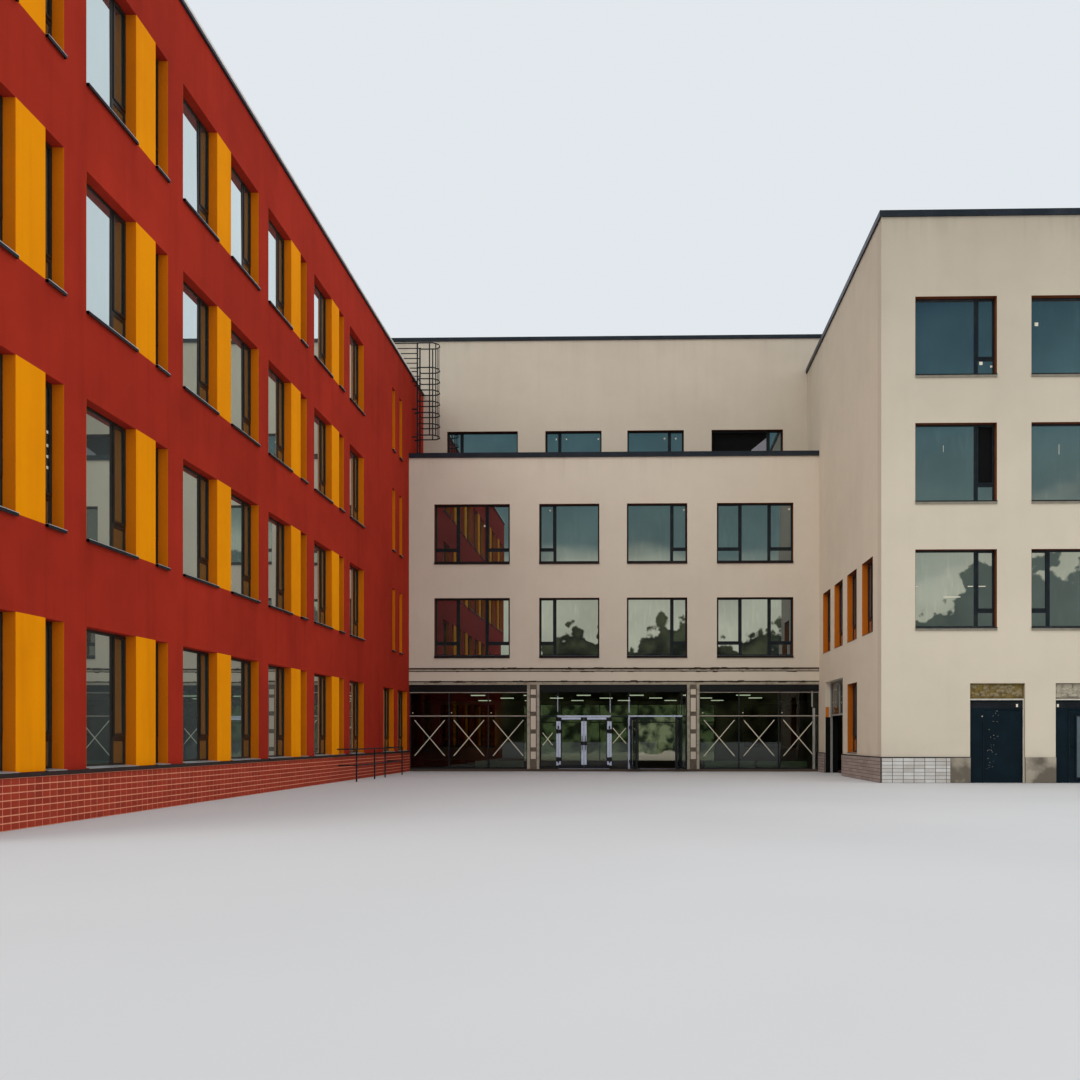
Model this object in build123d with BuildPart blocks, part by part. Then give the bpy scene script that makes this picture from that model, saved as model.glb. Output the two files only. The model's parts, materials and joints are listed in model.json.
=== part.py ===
# Four-storey school building round a courtyard, modelled at half its real size (1:2).
# All values are millimetres of the model: 500 mm here is one metre of the real building.
# X runs across the courtyard, Y from the open end of the courtyard to the back, Z up.
# The origin is on the ground, in the middle of the footprint.
from build123d import *
import os

os.makedirs("parts", exist_ok=True)

# Plan
courtyard_width = 8500
wing_width = 7625
courtyard_depth = 15150
right_wing_reach = 5450
terrace_depth = 1500
main_depth = 7000
wall = 250

# Heights
storey = 1950
slab = 200
ground_slab = 50
red_wall_top = 8290
red_coping_height = 50
right_wall_top = 8730
right_coping_height = 95
main_wall_top = 9505
main_coping_height = 80
hall_wall_top = 6515
hall_coping_height = 100
roof_drop = 240
terrace_rise = 200

# Copings and plinths
coping_overhang = 30
coping_joint = 4
plinth_proud = 20
red_plinth_height = 417
cream_plinth_height = 395

# Windows
sill_height = 445
ground_sill = 430
window_height = 1205
ground_window_height = 1220
reveal = 100
frame_depth = 40
frame_bar = 30
pane = 12
wide_window = 900
narrow_window = 275
colour_pier = 400
bay_wall = 350
wide_casement = 250
slot_width = 240
slot_setbacks = [1510, 890]
far_window_width = 850
far_window_setbacks = [2230, 1035]
class_window = 1250
class_window_start = 520
class_window_end = 530
class_window_count = 4
class_casement = 375
hall_end_window = 1575
hall_end_start = 530
hall_end_casement = 490
hall_mid_gap = 570
hall_mid_casement = 325
side_window = 800
side_window_starts = [575, 1800, 3000, 4200]
side_ground_start = 1775
back_window = 1575
back_window_end = 937.5
back_window_count = 8

# Entrance
header_bottom = 1665
wall_bottom = 1800
header_recess = 20
glazing_recess = 60
glazing_depth = 50
glazing_bar = 30
transom_bottom = 1127
pilaster_width = 255
middle_bay = 3060
side_light = 350
door_frame_width = 1145
centre_light = 338
leaf_gap = 6
leaf_thickness = 30
leaf_stile = 60
leaf_bottom_rail = 50
left_leaf_open = 76
right_leaf_open = 78
pull_length = 300
pull_stand_off = 25
pull_radius = 7
pull_stub_radius = 5
back_entrance_width = 5500

# Door hinges: a knuckle on the leaf under a fixed one on the jamb
knuckle_radius = 9
knuckle_height = 60
knuckle_play = 0.3
hinge_plate = 28
hinge_plate_thickness = 5
hinge_let_in = 2
pivot_stand_off = 10
hinge_inset = 120

# Service doors and the doorway in the right wing's courtyard wall
service_offsets = [1360, 2665]
service_width = 840
service_head = 1535
service_frame_height = 1280
service_jamb = 25
service_side_leaf = 200
service_light_bottom = 1125
service_recess = 60
service_board = 60
service_floor_gap = 8
lever_length = 60
lever_radius = 6
lever_spindle_radius = 5
side_door_start = 3000
side_door_width = 1750
side_door_frame = 30

# Roof ladder with its cage and guard rails
ladder_setback = 290
ladder_width = 275
ladder_stand_off = 100
ladder_top = 9020
stile_width = 30
stile_thickness = 8
rung_radius = 8
rung_pitch = 140
bracket_rises = [390, 975, 1560, 2145]
cage_depth = 430
cage_width = 360
cage_first_hoop = 7055
cage_hoop_pitch = 237
cage_low_hoops = 7
cage_band = 25
cage_band_thickness = 5
guard_rail_heights = [9020, 8805, 8600, 8425]
guard_run = 700
guard_bar = 16

# Guard railing at the foot of the red wing
railing_stand_off = 300
railing_setbacks = [5300, 4150, 3400, 2050]
railing_height = 525
railing_post = 20
railing_rails = [250, 505]

# Derived places
half_court = courtyard_width / 2
outer_x = half_court + wing_width
class_run = wing_width - class_window_start - class_window_end - class_window
class_window_pitch = class_run / (class_window_count - 1)
total_length = courtyard_depth + terrace_depth + main_depth
front_y = -total_length / 2
hall_y = front_y + courtyard_depth
right_y = hall_y - right_wing_reach
main_y = hall_y + terrace_depth
back_y = main_y + main_depth
floor_levels = [ground_slab, storey, 2 * storey, 3 * storey]
terrace_top = 3 * storey + terrace_rise
upper_sills = [storey * level + sill_height for level in (1, 2, 3)]
window_rows = [(ground_sill, ground_window_height)] + [(sill, window_height) for sill in upper_sills]


def front_plane(y):
    """Upright plane facing the open end of the courtyard: local x is X, local y is Z."""
    return Plane(origin=(0, y, 0), x_dir=(1, 0, 0), z_dir=(0, -1, 0))


def side_plane(x):
    """Upright plane facing +X: local x is Y, local y is Z."""
    return Plane(origin=(x, 0, 0), x_dir=(0, 1, 0), z_dir=(1, 0, 0))


def panel(left, bottom, width, height, mode=Mode.ADD):
    """Rectangle placed by its lower left corner."""
    with Locations((left, bottom)):
        Rectangle(width, height, align=Align.MIN, mode=mode)


def rectangles(openings, mode):
    """Every (left, bottom, width, height) as a rectangle, those of one size together."""
    for size in sorted({(w, h) for _, _, w, h in openings}):
        corners = [(left, low) for left, low, w, h in openings if (w, h) == size]
        with Locations(*corners):
            Rectangle(*size, align=Align.MIN, mode=mode)


def grid(columns, rows):
    """One opening for every (left, width) column in every (bottom, height) row."""
    return [(left, low, width, height) for left, width in columns for low, height in rows]


def lights(opening, bars, bar=frame_bar):
    """Glass areas of a framed opening, with upright bars centred at the given offsets."""
    left, low, width, height = opening
    edges = [bar / 2] + list(bars) + [width - bar / 2]
    return [
        (left + a + bar / 2, low + bar, b - a - bar, height - 2 * bar)
        for a, b in zip(edges, edges[1:])
    ]


def window_units(plane, face, side, windows):
    """Framed windows set back in a wall: side is +1 where the wall faces the plane's z."""
    outer = plane.offset(face)
    with BuildSketch(outer) as frames:
        rectangles([opening for opening, _ in windows], Mode.ADD)
    extrude(frames.sketch, amount=-side * frame_depth)
    with BuildSketch(outer) as glass:
        rectangles([light for opening, bars in windows for light in lights(opening, bars)], Mode.ADD)
    extrude(glass.sketch, amount=-side * (frame_depth - pane), mode=Mode.SUBTRACT)


def pivot_plane(hinge_x, face_y, hand, opened=0):
    """Upright plane through a hinge's axis: local x runs along the leaf from its hinge."""
    pivot = (hinge_x + hand * leaf_gap / 2, face_y - pivot_stand_off, 0)
    along = Vector(hand, 0, 0).rotate(Axis.Z, -hand * opened)
    normal = Vector(0, -hand, 0).rotate(Axis.Z, -hand * opened)
    return Plane(origin=pivot, x_dir=along, z_dir=normal)


def knuckles(pivot, hand, low, height, fixed):
    """Hinge plates and knuckles near both ends of a leaf, on the leaf or above it on the jamb."""
    ends = (low + hinge_inset, low + height - hinge_inset - 2 * knuckle_height - knuckle_play)
    face = pivot.offset(-hand * (pivot_stand_off + hinge_let_in))
    for end in ends:
        bottom = end + knuckle_height + knuckle_play if fixed else end
        with BuildSketch(face) as plate:
            panel(-hinge_plate if fixed else 0, bottom, hinge_plate, knuckle_height)
        extrude(plate.sketch, amount=hand * (hinge_let_in + hinge_plate_thickness))
        with BuildSketch(Plane(origin=pivot.from_local_coords((0, bottom, 0)))) as barrel:
            Circle(knuckle_radius)
        extrude(barrel.sketch, amount=knuckle_height)


def write(piece, name):
    """Label a finished piece and write its file."""
    piece.part.label = name
    export_step(piece.part, f"parts/{name}.step")


# Red wing: its openings along the courtyard, as bays of two windows and a coloured pier
red_bays = [
    (wide_window, narrow_window),
    (wide_window, narrow_window),
    (wide_window, wide_window),
    (wide_window, narrow_window),
    (wide_window, narrow_window),
    (wide_window,),
]
red_holes = []
red_piers = []
red_windows = []
place = front_y + bay_wall
for bay in red_bays:
    start = place
    for width in bay:
        if place > start:
            red_piers.append((place, colour_pier))
            place += colour_pier
        red_windows.append((place, width))
        place += width
    red_holes.append((start, place - start))
    place += bay_wall
red_slots = [(hall_y - setback, slot_width) for setback in slot_setbacks]
red_far_windows = [(hall_y - setback, far_window_width) for setback in far_window_setbacks]
red_far_openings = grid(red_slots, window_rows[1:]) + grid(red_far_windows, window_rows[:1])
red_length = main_y - front_y

with BuildPart() as red_courtyard_wall:
    with BuildSketch(side_plane(-half_court)):
        panel(front_y, 0, red_length, red_wall_top)
        rectangles(grid(red_holes, window_rows) + red_far_openings, Mode.SUBTRACT)
    extrude(amount=-wall)
write(red_courtyard_wall, "red_courtyard_wall")

with BuildPart() as red_window_piers:
    with BuildSketch(side_plane(-half_court)):
        rectangles(grid(red_piers, window_rows), Mode.ADD)
    extrude(amount=-wall)
write(red_window_piers, "red_window_piers")

red_framed = [
    (opening, [opening[2] - wide_casement] if opening[2] == wide_window else [])
    for opening in grid(red_windows, window_rows) + red_far_openings
]
with BuildPart() as red_courtyard_windows:
    window_units(side_plane(-half_court), -reveal, 1, red_framed)
write(red_courtyard_windows, "red_courtyard_windows")

with BuildPart() as red_outer_wall:
    with BuildSketch(side_plane(-outer_x)):
        panel(front_y + wall, 0, red_length - wall, red_wall_top)
        rectangles(grid(red_windows, window_rows), Mode.SUBTRACT)
    extrude(amount=wall)
write(red_outer_wall, "red_outer_wall")

class_columns = [
    (class_window_start + class_window_pitch * column, class_window)
    for column in range(class_window_count)
]
red_end_columns = [(-outer_x + left, width) for left, width in class_columns]
with BuildPart() as red_end_wall:
    with BuildSketch(front_plane(front_y)):
        panel(-outer_x, 0, wing_width - wall, red_wall_top)
        rectangles(grid(red_end_columns, window_rows), Mode.SUBTRACT)
    extrude(amount=-wall)
write(red_end_wall, "red_end_wall")

with BuildPart() as red_end_windows:
    with BuildSketch(front_plane(front_y + reveal)):
        rectangles(grid(red_end_columns, window_rows), Mode.ADD)
    extrude(amount=-pane)
write(red_end_windows, "red_end_windows")

red_inner_x = -outer_x + wall
red_inner_width = wing_width - 2 * wall
with BuildPart() as red_floors:
    for level in floor_levels:
        thickness = min(level, slab)
        with BuildSketch(Plane.XY.offset(level)):
            panel(red_inner_x, front_y + wall, red_inner_width, red_length - wall)
        extrude(amount=-thickness)
write(red_floors, "red_floors")

with BuildPart() as red_roof:
    with BuildSketch(Plane.XY.offset(red_wall_top - roof_drop)):
        panel(red_inner_x, front_y + wall, red_inner_width, red_length - wall)
    extrude(amount=-slab)
write(red_roof, "red_roof")

coping_width = wall + 2 * coping_overhang
with BuildPart() as red_coping:
    with BuildSketch(Plane.XY.offset(red_wall_top)):
        across = wing_width + 2 * coping_overhang
        panel(-outer_x - coping_overhang, front_y - coping_overhang, across, coping_width)
        along_start = front_y + wall + coping_overhang + coping_joint
        along = main_y - along_start
        panel(-half_court - wall - coping_overhang, along_start, coping_width, along)
        panel(-outer_x - coping_overhang, along_start, coping_width, along)
    extrude(amount=red_coping_height)
write(red_coping, "red_coping")

with BuildPart() as red_plinth:
    with BuildSketch(Plane.XY):
        panel(-half_court, front_y, plinth_proud, courtyard_depth)
        panel(-outer_x, front_y - plinth_proud, wing_width, plinth_proud)
        panel(-outer_x - plinth_proud, front_y, plinth_proud, red_length)
    extrude(amount=red_plinth_height)
write(red_plinth, "red_plinth")

# Right wing: plain cream walls, split beside and over its doorways
right_front_x = half_court
right_columns = [(right_front_x + left, width) for left, width in class_columns]
door_lefts = [right_front_x + offset for offset in service_offsets]
after_doors = door_lefts[1] + service_width
with BuildPart() as right_front_wall:
    with BuildSketch(front_plane(right_y)):
        panel(right_front_x, service_head, wing_width - wall, right_wall_top - service_head)
        rectangles(grid(right_columns, window_rows[1:]), Mode.SUBTRACT)
        rectangles(grid(right_columns[2:], window_rows[:1]), Mode.SUBTRACT)
    extrude(amount=-wall)
write(right_front_wall, "right_front_wall")

with BuildPart() as right_front_base:
    with BuildSketch(front_plane(right_y)):
        panel(right_front_x, 0, service_offsets[0], service_head)
        pier_left = door_lefts[0] + service_width
        panel(pier_left, 0, door_lefts[1] - pier_left, service_head)
        panel(after_doors, 0, outer_x - wall - after_doors, service_head)
        rectangles(grid(right_columns[2:], window_rows[:1]), Mode.SUBTRACT)
    extrude(amount=-wall)
write(right_front_base, "right_front_base")

left_hung = (right_columns[1][0], upper_sills[0])
right_framed = [
    (opening, [class_casement if opening[:2] == left_hung else class_window - class_casement])
    for opening in grid(right_columns, window_rows[1:]) + grid(right_columns[2:], window_rows[:1])
]
with BuildPart() as right_front_windows:
    window_units(front_plane(right_y), -reveal, 1, right_framed)
write(right_front_windows, "right_front_windows")

side_columns = [(right_y + start, side_window) for start in side_window_starts]
side_openings = grid(side_columns, window_rows[1:2])
side_ground = grid([(right_y + side_ground_start, side_window)], window_rows[:1])
right_inner_y = right_y + wall
door_start = right_y + side_door_start
door_end = door_start + side_door_width
with BuildPart() as right_courtyard_wall:
    with BuildSketch(side_plane(half_court)):
        panel(right_inner_y, wall_bottom, main_y - right_inner_y, right_wall_top - wall_bottom)
        rectangles(side_openings, Mode.SUBTRACT)
    extrude(amount=wall)
write(right_courtyard_wall, "right_courtyard_wall")

with BuildPart() as right_courtyard_base:
    with BuildSketch(side_plane(half_court)):
        panel(right_inner_y, 0, door_start - right_inner_y, wall_bottom)
        panel(door_end, 0, main_y - door_end, wall_bottom)
        rectangles(side_ground, Mode.SUBTRACT)
    extrude(amount=wall)
write(right_courtyard_base, "right_courtyard_base")

with BuildPart() as right_courtyard_windows:
    side_framed = [(opening, [side_window / 2]) for opening in side_openings + side_ground]
    window_units(side_plane(half_court), reveal, -1, side_framed)
write(right_courtyard_windows, "right_courtyard_windows")

with BuildPart() as side_door_transom:
    door_height = wall_bottom
    bar = side_door_frame
    with BuildSketch(side_plane(half_court + reveal)):
        panel(door_start, transom_bottom, side_door_width, door_height - transom_bottom)
    extrude(amount=frame_depth)
    with BuildSketch(side_plane(half_court + reveal)):
        clear = (side_door_width - 3 * bar) / 2
        tall = door_height - transom_bottom - 2 * bar
        panel(door_start + bar, transom_bottom + bar, clear, tall)
        panel(door_start + 2 * bar + clear, transom_bottom + bar, clear, tall)
    extrude(amount=frame_depth - pane, mode=Mode.SUBTRACT)
write(side_door_transom, "side_door_transom")

with BuildPart() as side_door_posts:
    with BuildSketch(side_plane(half_court + reveal)):
        panel(door_start, 0, side_door_frame, transom_bottom)
        panel(door_end - side_door_frame, 0, side_door_frame, transom_bottom)
    extrude(amount=frame_depth)
write(side_door_posts, "side_door_posts")

right_length = main_y - right_y
right_side_columns = [(right_y + left, width) for left, width in class_columns[:3]]
main_side_columns = [(main_y + left, width) for left, width in class_columns[:3]]
with BuildPart() as right_side_wall:
    with BuildSketch(side_plane(outer_x)):
        panel(right_y, 0, right_length, right_wall_top)
        rectangles(grid(right_side_columns, window_rows), Mode.SUBTRACT)
    extrude(amount=-wall)
write(right_side_wall, "right_side_wall")

with BuildPart() as right_side_windows:
    with BuildSketch(side_plane(outer_x - reveal)):
        rectangles(grid(right_side_columns + main_side_columns, window_rows), Mode.ADD)
    extrude(amount=-pane)
write(right_side_windows, "right_side_windows")

with BuildPart() as right_floors:
    for level in floor_levels:
        thickness = min(level, slab)
        with BuildSketch(Plane.XY.offset(level)):
            panel(half_court + wall, right_inner_y, wing_width - 2 * wall, main_y - right_inner_y)
        extrude(amount=-thickness)
write(right_floors, "right_floors")

with BuildPart() as right_roof:
    with BuildSketch(Plane.XY.offset(right_wall_top - roof_drop)):
        panel(half_court + wall, right_inner_y, wing_width - 2 * wall, main_y - right_inner_y)
    extrude(amount=-slab)
write(right_roof, "right_roof")

with BuildPart() as right_coping:
    with BuildSketch(Plane.XY.offset(right_wall_top)):
        across = wing_width + 2 * coping_overhang
        panel(half_court - coping_overhang, right_y - coping_overhang, across, coping_width)
        along_start = right_inner_y + coping_overhang + coping_joint
        along = main_y - along_start
        panel(half_court - coping_overhang, along_start, coping_width, along)
        panel(outer_x - wall - coping_overhang, along_start, coping_width, along)
    extrude(amount=right_coping_height)
write(right_coping, "right_coping")

with BuildPart() as cream_plinth:
    with BuildSketch(Plane.XY):
        front_line = right_y - plinth_proud
        panel(right_front_x, front_line, service_offsets[0], plinth_proud)
        panel(pier_left, front_line, door_lefts[1] - pier_left, plinth_proud)
        panel(after_doors, front_line, outer_x - after_doors, plinth_proud)
        side_line = half_court - plinth_proud
        panel(side_line, right_y, plinth_proud, door_start - right_y)
        panel(side_line, door_end, plinth_proud, hall_y - door_end)
        panel(outer_x, right_y, plinth_proud, right_length + main_depth)
        half_back = outer_x - back_entrance_width / 2
        panel(-outer_x, back_y, half_back, plinth_proud)
        panel(back_entrance_width / 2, back_y, half_back, plinth_proud)
        panel(-outer_x - plinth_proud, main_y, plinth_proud, main_depth)
    extrude(amount=cream_plinth_height)
write(cream_plinth, "cream_plinth")

# Service doors: fixed narrow leaf, hinged main leaf, fixed light and a board over it
service_y = right_y + service_recess
service_opening = service_width - 2 * service_jamb - service_side_leaf
service_leaf_width = service_opening - 2 * leaf_gap
service_leaf_height = service_light_bottom - service_floor_gap - leaf_gap
with BuildPart() as service_door_frames:
    with BuildSketch(front_plane(service_y)):
        for left in door_lefts:
            panel(left, 0, service_width, service_frame_height)
            doorway_left = left + service_jamb + service_side_leaf
            panel(doorway_left, 0, service_opening, service_light_bottom, Mode.SUBTRACT)
    extrude(amount=-frame_depth)
    with BuildSketch(front_plane(service_y)):
        for left in door_lefts:
            light_height = service_frame_height - service_light_bottom - 2 * service_jamb
            light_left = left + service_jamb
            light_low = service_light_bottom + service_jamb
            panel(light_left, light_low, service_width - 2 * service_jamb, light_height)
    extrude(amount=pane - frame_depth, mode=Mode.SUBTRACT)
    for left in door_lefts:
        pivot = pivot_plane(left + service_width - service_jamb, service_y, -1)
        knuckles(pivot, -1, service_floor_gap, service_leaf_height, True)
write(service_door_frames, "service_door_frames")

with BuildPart() as door_head_boards:
    with BuildSketch(front_plane(service_y)):
        for left in door_lefts:
            panel(left, service_frame_height, service_width, service_head - service_frame_height)
    extrude(amount=-service_board)
write(door_head_boards, "door_head_boards")

for number, left in enumerate(door_lefts, start=1):
    leaf_left = left + service_jamb + service_side_leaf + leaf_gap * 1.5
    pivot = pivot_plane(left + service_width - service_jamb, service_y, -1)
    with BuildPart() as service_leaf:
        with BuildSketch(front_plane(service_y)):
            panel(leaf_left, service_floor_gap, service_leaf_width, service_leaf_height)
        extrude(amount=-leaf_thickness)
        lever_z = service_floor_gap + service_leaf_height / 2
        with BuildSketch(front_plane(service_y)):
            with Locations((leaf_left + leaf_stile / 2, lever_z)):
                RegularPolygon(lever_spindle_radius, 8)
        extrude(amount=pull_stand_off)
        with BuildSketch(side_plane(leaf_left + leaf_stile / 2 - lever_radius)):
            with Locations((service_y - pull_stand_off, lever_z)):
                RegularPolygon(lever_radius, 8)
        extrude(amount=lever_length)
        knuckles(pivot, -1, service_floor_gap, service_leaf_height, False)
    write(service_leaf, f"service_door_{number}")

# Hall: lower front over three storeys, with the glazed entrance under it
hall_columns = [
    (-half_court + hall_end_start, hall_end_window),
    (-hall_mid_gap / 2 - class_window, class_window),
    (hall_mid_gap / 2, class_window),
    (half_court - hall_end_start - hall_end_window, hall_end_window),
]
hall_bars = [
    [hall_end_casement, hall_end_window - hall_end_casement],
    [hall_mid_casement],
    [class_window - hall_mid_casement],
    [hall_end_casement, hall_end_window - hall_end_casement],
]
with BuildPart() as hall_front_wall:
    with BuildSketch(front_plane(hall_y)):
        panel(-half_court, wall_bottom, courtyard_width, hall_wall_top - wall_bottom)
        rectangles(grid(hall_columns, window_rows[1:3]), Mode.SUBTRACT)
    extrude(amount=-wall)
write(hall_front_wall, "hall_front_wall")

with BuildPart() as hall_windows:
    hall_framed = [
        (opening, bars)
        for column, bars in zip(hall_columns, hall_bars)
        for opening in grid([column], window_rows[1:3])
    ]
    window_units(front_plane(hall_y), -reveal, 1, hall_framed)
write(hall_windows, "hall_windows")

with BuildPart() as terrace_roof:
    with BuildSketch(Plane.XY.offset(terrace_top)):
        panel(-half_court, hall_y + wall, courtyard_width, terrace_depth - wall)
    extrude(amount=-terrace_rise)
write(terrace_roof, "terrace_roof")

with BuildPart() as terrace_coping:
    with BuildSketch(Plane.XY.offset(hall_wall_top)):
        coping_length = courtyard_width - 2 * coping_joint
        panel(-half_court + coping_joint, hall_y - coping_overhang, coping_length, coping_width)
    extrude(amount=hall_coping_height)
write(terrace_coping, "terrace_coping")

bay_left = -middle_bay / 2
pilaster_lefts = [bay_left - pilaster_width, middle_bay / 2]
side_bay = half_court - middle_bay / 2 - pilaster_width
with BuildPart() as entrance_pilasters:
    with BuildSketch(front_plane(hall_y)):
        for left in pilaster_lefts:
            panel(left, ground_slab, pilaster_width, wall_bottom - ground_slab)
    extrude(amount=-wall)
write(entrance_pilasters, "entrance_pilasters")

header_lefts = [(-half_court, side_bay), (bay_left, middle_bay), (half_court - side_bay, side_bay)]
with BuildPart() as entrance_header:
    with BuildSketch(front_plane(hall_y + header_recess)):
        for left, width in header_lefts:
            panel(left, header_bottom, width, wall_bottom - header_bottom)
    extrude(amount=header_recess - wall)
write(entrance_header, "entrance_header")

glazing_y = hall_y + glazing_recess
transom_top = transom_bottom + glazing_bar
side_glazings = {"entrance_glazing_left": -half_court, "entrance_glazing_right": half_court - side_bay}
for name, left in side_glazings.items():
    thirds = [side_bay / 3, side_bay * 2 / 3]
    low = (left, ground_slab, side_bay, transom_top - ground_slab)
    high = (left, transom_bottom, side_bay, header_bottom - transom_bottom)
    with BuildPart() as glazing:
        with BuildSketch(front_plane(glazing_y)):
            panel(left, ground_slab, side_bay, header_bottom - ground_slab)
        extrude(amount=-glazing_depth)
        with BuildSketch(front_plane(glazing_y)):
            rectangles(lights(low, thirds, glazing_bar) + lights(high, thirds, glazing_bar), Mode.ADD)
        extrude(amount=pane - glazing_depth, mode=Mode.SUBTRACT)
    write(glazing, name)

door_a_left = bay_left + side_light
door_b_left = door_a_left + door_frame_width + centre_light
door_b_right = door_b_left + door_frame_width
with BuildPart() as entrance_top_light:
    with BuildSketch(front_plane(glazing_y)):
        panel(bay_left, transom_bottom, middle_bay, header_bottom - transom_bottom)
    extrude(amount=-glazing_depth)
    with BuildSketch(front_plane(glazing_y)):
        bars = [side_light, side_light + door_frame_width]
        bars += [door_b_left - bay_left, door_b_right - bay_left]
        over_doors = (bay_left, transom_bottom, middle_bay, header_bottom - transom_bottom)
        rectangles(lights(over_doors, bars, glazing_bar), Mode.ADD)
    extrude(amount=pane - glazing_depth, mode=Mode.SUBTRACT)
write(entrance_top_light, "entrance_top_light")

leaf_width = (door_frame_width - 2 * glazing_bar - 3 * leaf_gap) / 2
leaf_low = ground_slab + leaf_gap
leaf_height = transom_bottom - leaf_gap - leaf_low
a_jambs = (door_a_left + glazing_bar, door_a_left + door_frame_width - glazing_bar)
b_jambs = (door_b_left + glazing_bar, door_b_right - glazing_bar)
entrance_leaves = {
    "entrance_leaf_a_left": (a_jambs[0], 1, 0),
    "entrance_leaf_a_right": (a_jambs[1], -1, 0),
    "entrance_leaf_b_left": (b_jambs[0], 1, left_leaf_open),
    "entrance_leaf_b_right": (b_jambs[1], -1, right_leaf_open),
}
side_light_spans = [
    (bay_left, side_light + glazing_bar),
    (a_jambs[1], centre_light + 2 * glazing_bar),
    (b_jambs[1], middle_bay / 2 - b_jambs[1]),
]
with BuildPart() as entrance_side_lights:
    with BuildSketch(front_plane(glazing_y)):
        for left, width in side_light_spans:
            panel(left, ground_slab, width, transom_bottom - ground_slab)
    extrude(amount=-glazing_depth)
    with BuildSketch(front_plane(glazing_y)):
        for left, width in side_light_spans:
            opening = (left, ground_slab, width, transom_bottom - ground_slab)
            rectangles(lights(opening, [], glazing_bar), Mode.ADD)
    extrude(amount=pane - glazing_depth, mode=Mode.SUBTRACT)
    for hinge_x, hand, _ in entrance_leaves.values():
        knuckles(pivot_plane(hinge_x, glazing_y, hand), hand, leaf_low, leaf_height, True)
write(entrance_side_lights, "entrance_side_lights")

# Entrance leaves: hinged at the jambs, the second pair standing open
for name, (hinge_x, hand, opened) in entrance_leaves.items():
    pivot = pivot_plane(hinge_x, glazing_y, hand, opened)
    face = pivot.offset(-hand * pivot_stand_off)
    glass_height = leaf_height - leaf_stile - leaf_bottom_rail
    with BuildPart() as leaf:
        with BuildSketch(face):
            panel(leaf_gap / 2, leaf_low, leaf_width, leaf_height)
        extrude(amount=-hand * leaf_thickness)
        with BuildSketch(face):
            glass_low = leaf_low + leaf_bottom_rail
            panel(leaf_gap / 2 + leaf_stile, glass_low, leaf_width - 2 * leaf_stile, glass_height)
        extrude(amount=-hand * (leaf_thickness - pane), mode=Mode.SUBTRACT)
        pull_x = leaf_gap / 2 + leaf_width - leaf_stile / 2
        pull_low = leaf_low + (leaf_height - pull_length) / 2
        for height in (pull_low + pull_radius, pull_low + pull_length - pull_radius):
            with BuildSketch(face):
                with Locations((pull_x, height)):
                    RegularPolygon(pull_stub_radius, 6)
            extrude(amount=hand * pull_stand_off)
        grip = Plane(origin=face.from_local_coords((pull_x, pull_low, hand * pull_stand_off)))
        with BuildSketch(grip):
            RegularPolygon(pull_radius, 8)
        extrude(amount=pull_length)
        knuckles(pivot, hand, leaf_low, leaf_height, False)
    write(leaf, name)

# Main block: the tall bar across the back
main_length = 2 * outer_x - 2 * wall
main_front_bottom = 3 * storey
with BuildPart() as main_front_wall:
    with BuildSketch(front_plane(main_y)):
        front_height = main_wall_top - main_front_bottom
        panel(wall - outer_x, main_front_bottom, main_length, front_height)
        rectangles(grid(hall_columns, window_rows[3:]), Mode.SUBTRACT)
    extrude(amount=-wall)
write(main_front_wall, "main_front_wall")

top_bars = [
    [hall_mid_casement],
    [hall_mid_casement],
    [class_window - hall_mid_casement],
    [hall_end_window - hall_mid_casement],
]
with BuildPart() as main_front_windows:
    top_framed = [
        (grid([column], window_rows[3:])[0], bars) for column, bars in zip(hall_columns, top_bars)
    ]
    window_units(front_plane(main_y), -reveal, 1, top_framed)
write(main_front_windows, "main_front_windows")

back_run = 2 * (outer_x - back_window_end) - back_window
back_window_pitch = back_run / (back_window_count - 1)
back_columns = [
    (back_window_end - outer_x + back_window_pitch * column, back_window)
    for column in range(back_window_count)
]
entrance_reach = back_entrance_width / 2 + wall
beside_entrance = [
    (left, width)
    for left, width in back_columns
    if left > entrance_reach or left + width < -entrance_reach
]
back_openings = grid(back_columns, window_rows[1:]) + grid(beside_entrance, window_rows[:1])
back_entrance = (-back_entrance_width / 2, 0, back_entrance_width, header_bottom)
with BuildPart() as main_back_wall:
    with BuildSketch(front_plane(back_y - wall)):
        panel(wall - outer_x, 0, main_length, main_wall_top)
        rectangles(back_openings + [back_entrance], Mode.SUBTRACT)
    extrude(amount=-wall)
write(main_back_wall, "main_back_wall")

with BuildPart() as main_back_windows:
    with BuildSketch(front_plane(back_y - reveal - pane)):
        rectangles(back_openings, Mode.ADD)
    extrude(amount=-pane)
write(main_back_windows, "main_back_windows")

with BuildPart() as back_entrance_glazing:
    fifths = [back_entrance_width * share / 5 for share in range(1, 5)]
    back_low = (back_entrance[0], 0, back_entrance_width, transom_top)
    back_high = (back_entrance[0], transom_bottom, back_entrance_width, header_bottom - transom_bottom)
    back_face = front_plane(back_y - reveal)
    with BuildSketch(back_face):
        rectangles([back_entrance], Mode.ADD)
    extrude(amount=glazing_depth)
    with BuildSketch(back_face):
        back_lights = lights(back_low, fifths, glazing_bar) + lights(back_high, fifths, glazing_bar)
        rectangles(back_lights, Mode.ADD)
    extrude(amount=glazing_depth - pane, mode=Mode.SUBTRACT)
write(back_entrance_glazing, "back_entrance_glazing")

with BuildPart() as main_end_walls:
    for side, depth in ((-outer_x, wall), (outer_x, -wall)):
        with BuildSketch(side_plane(side)):
            panel(main_y, 0, main_depth, main_wall_top)
            rectangles(grid(main_side_columns, window_rows), Mode.SUBTRACT)
        extrude(amount=depth)
write(main_end_walls, "main_end_walls")

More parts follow.
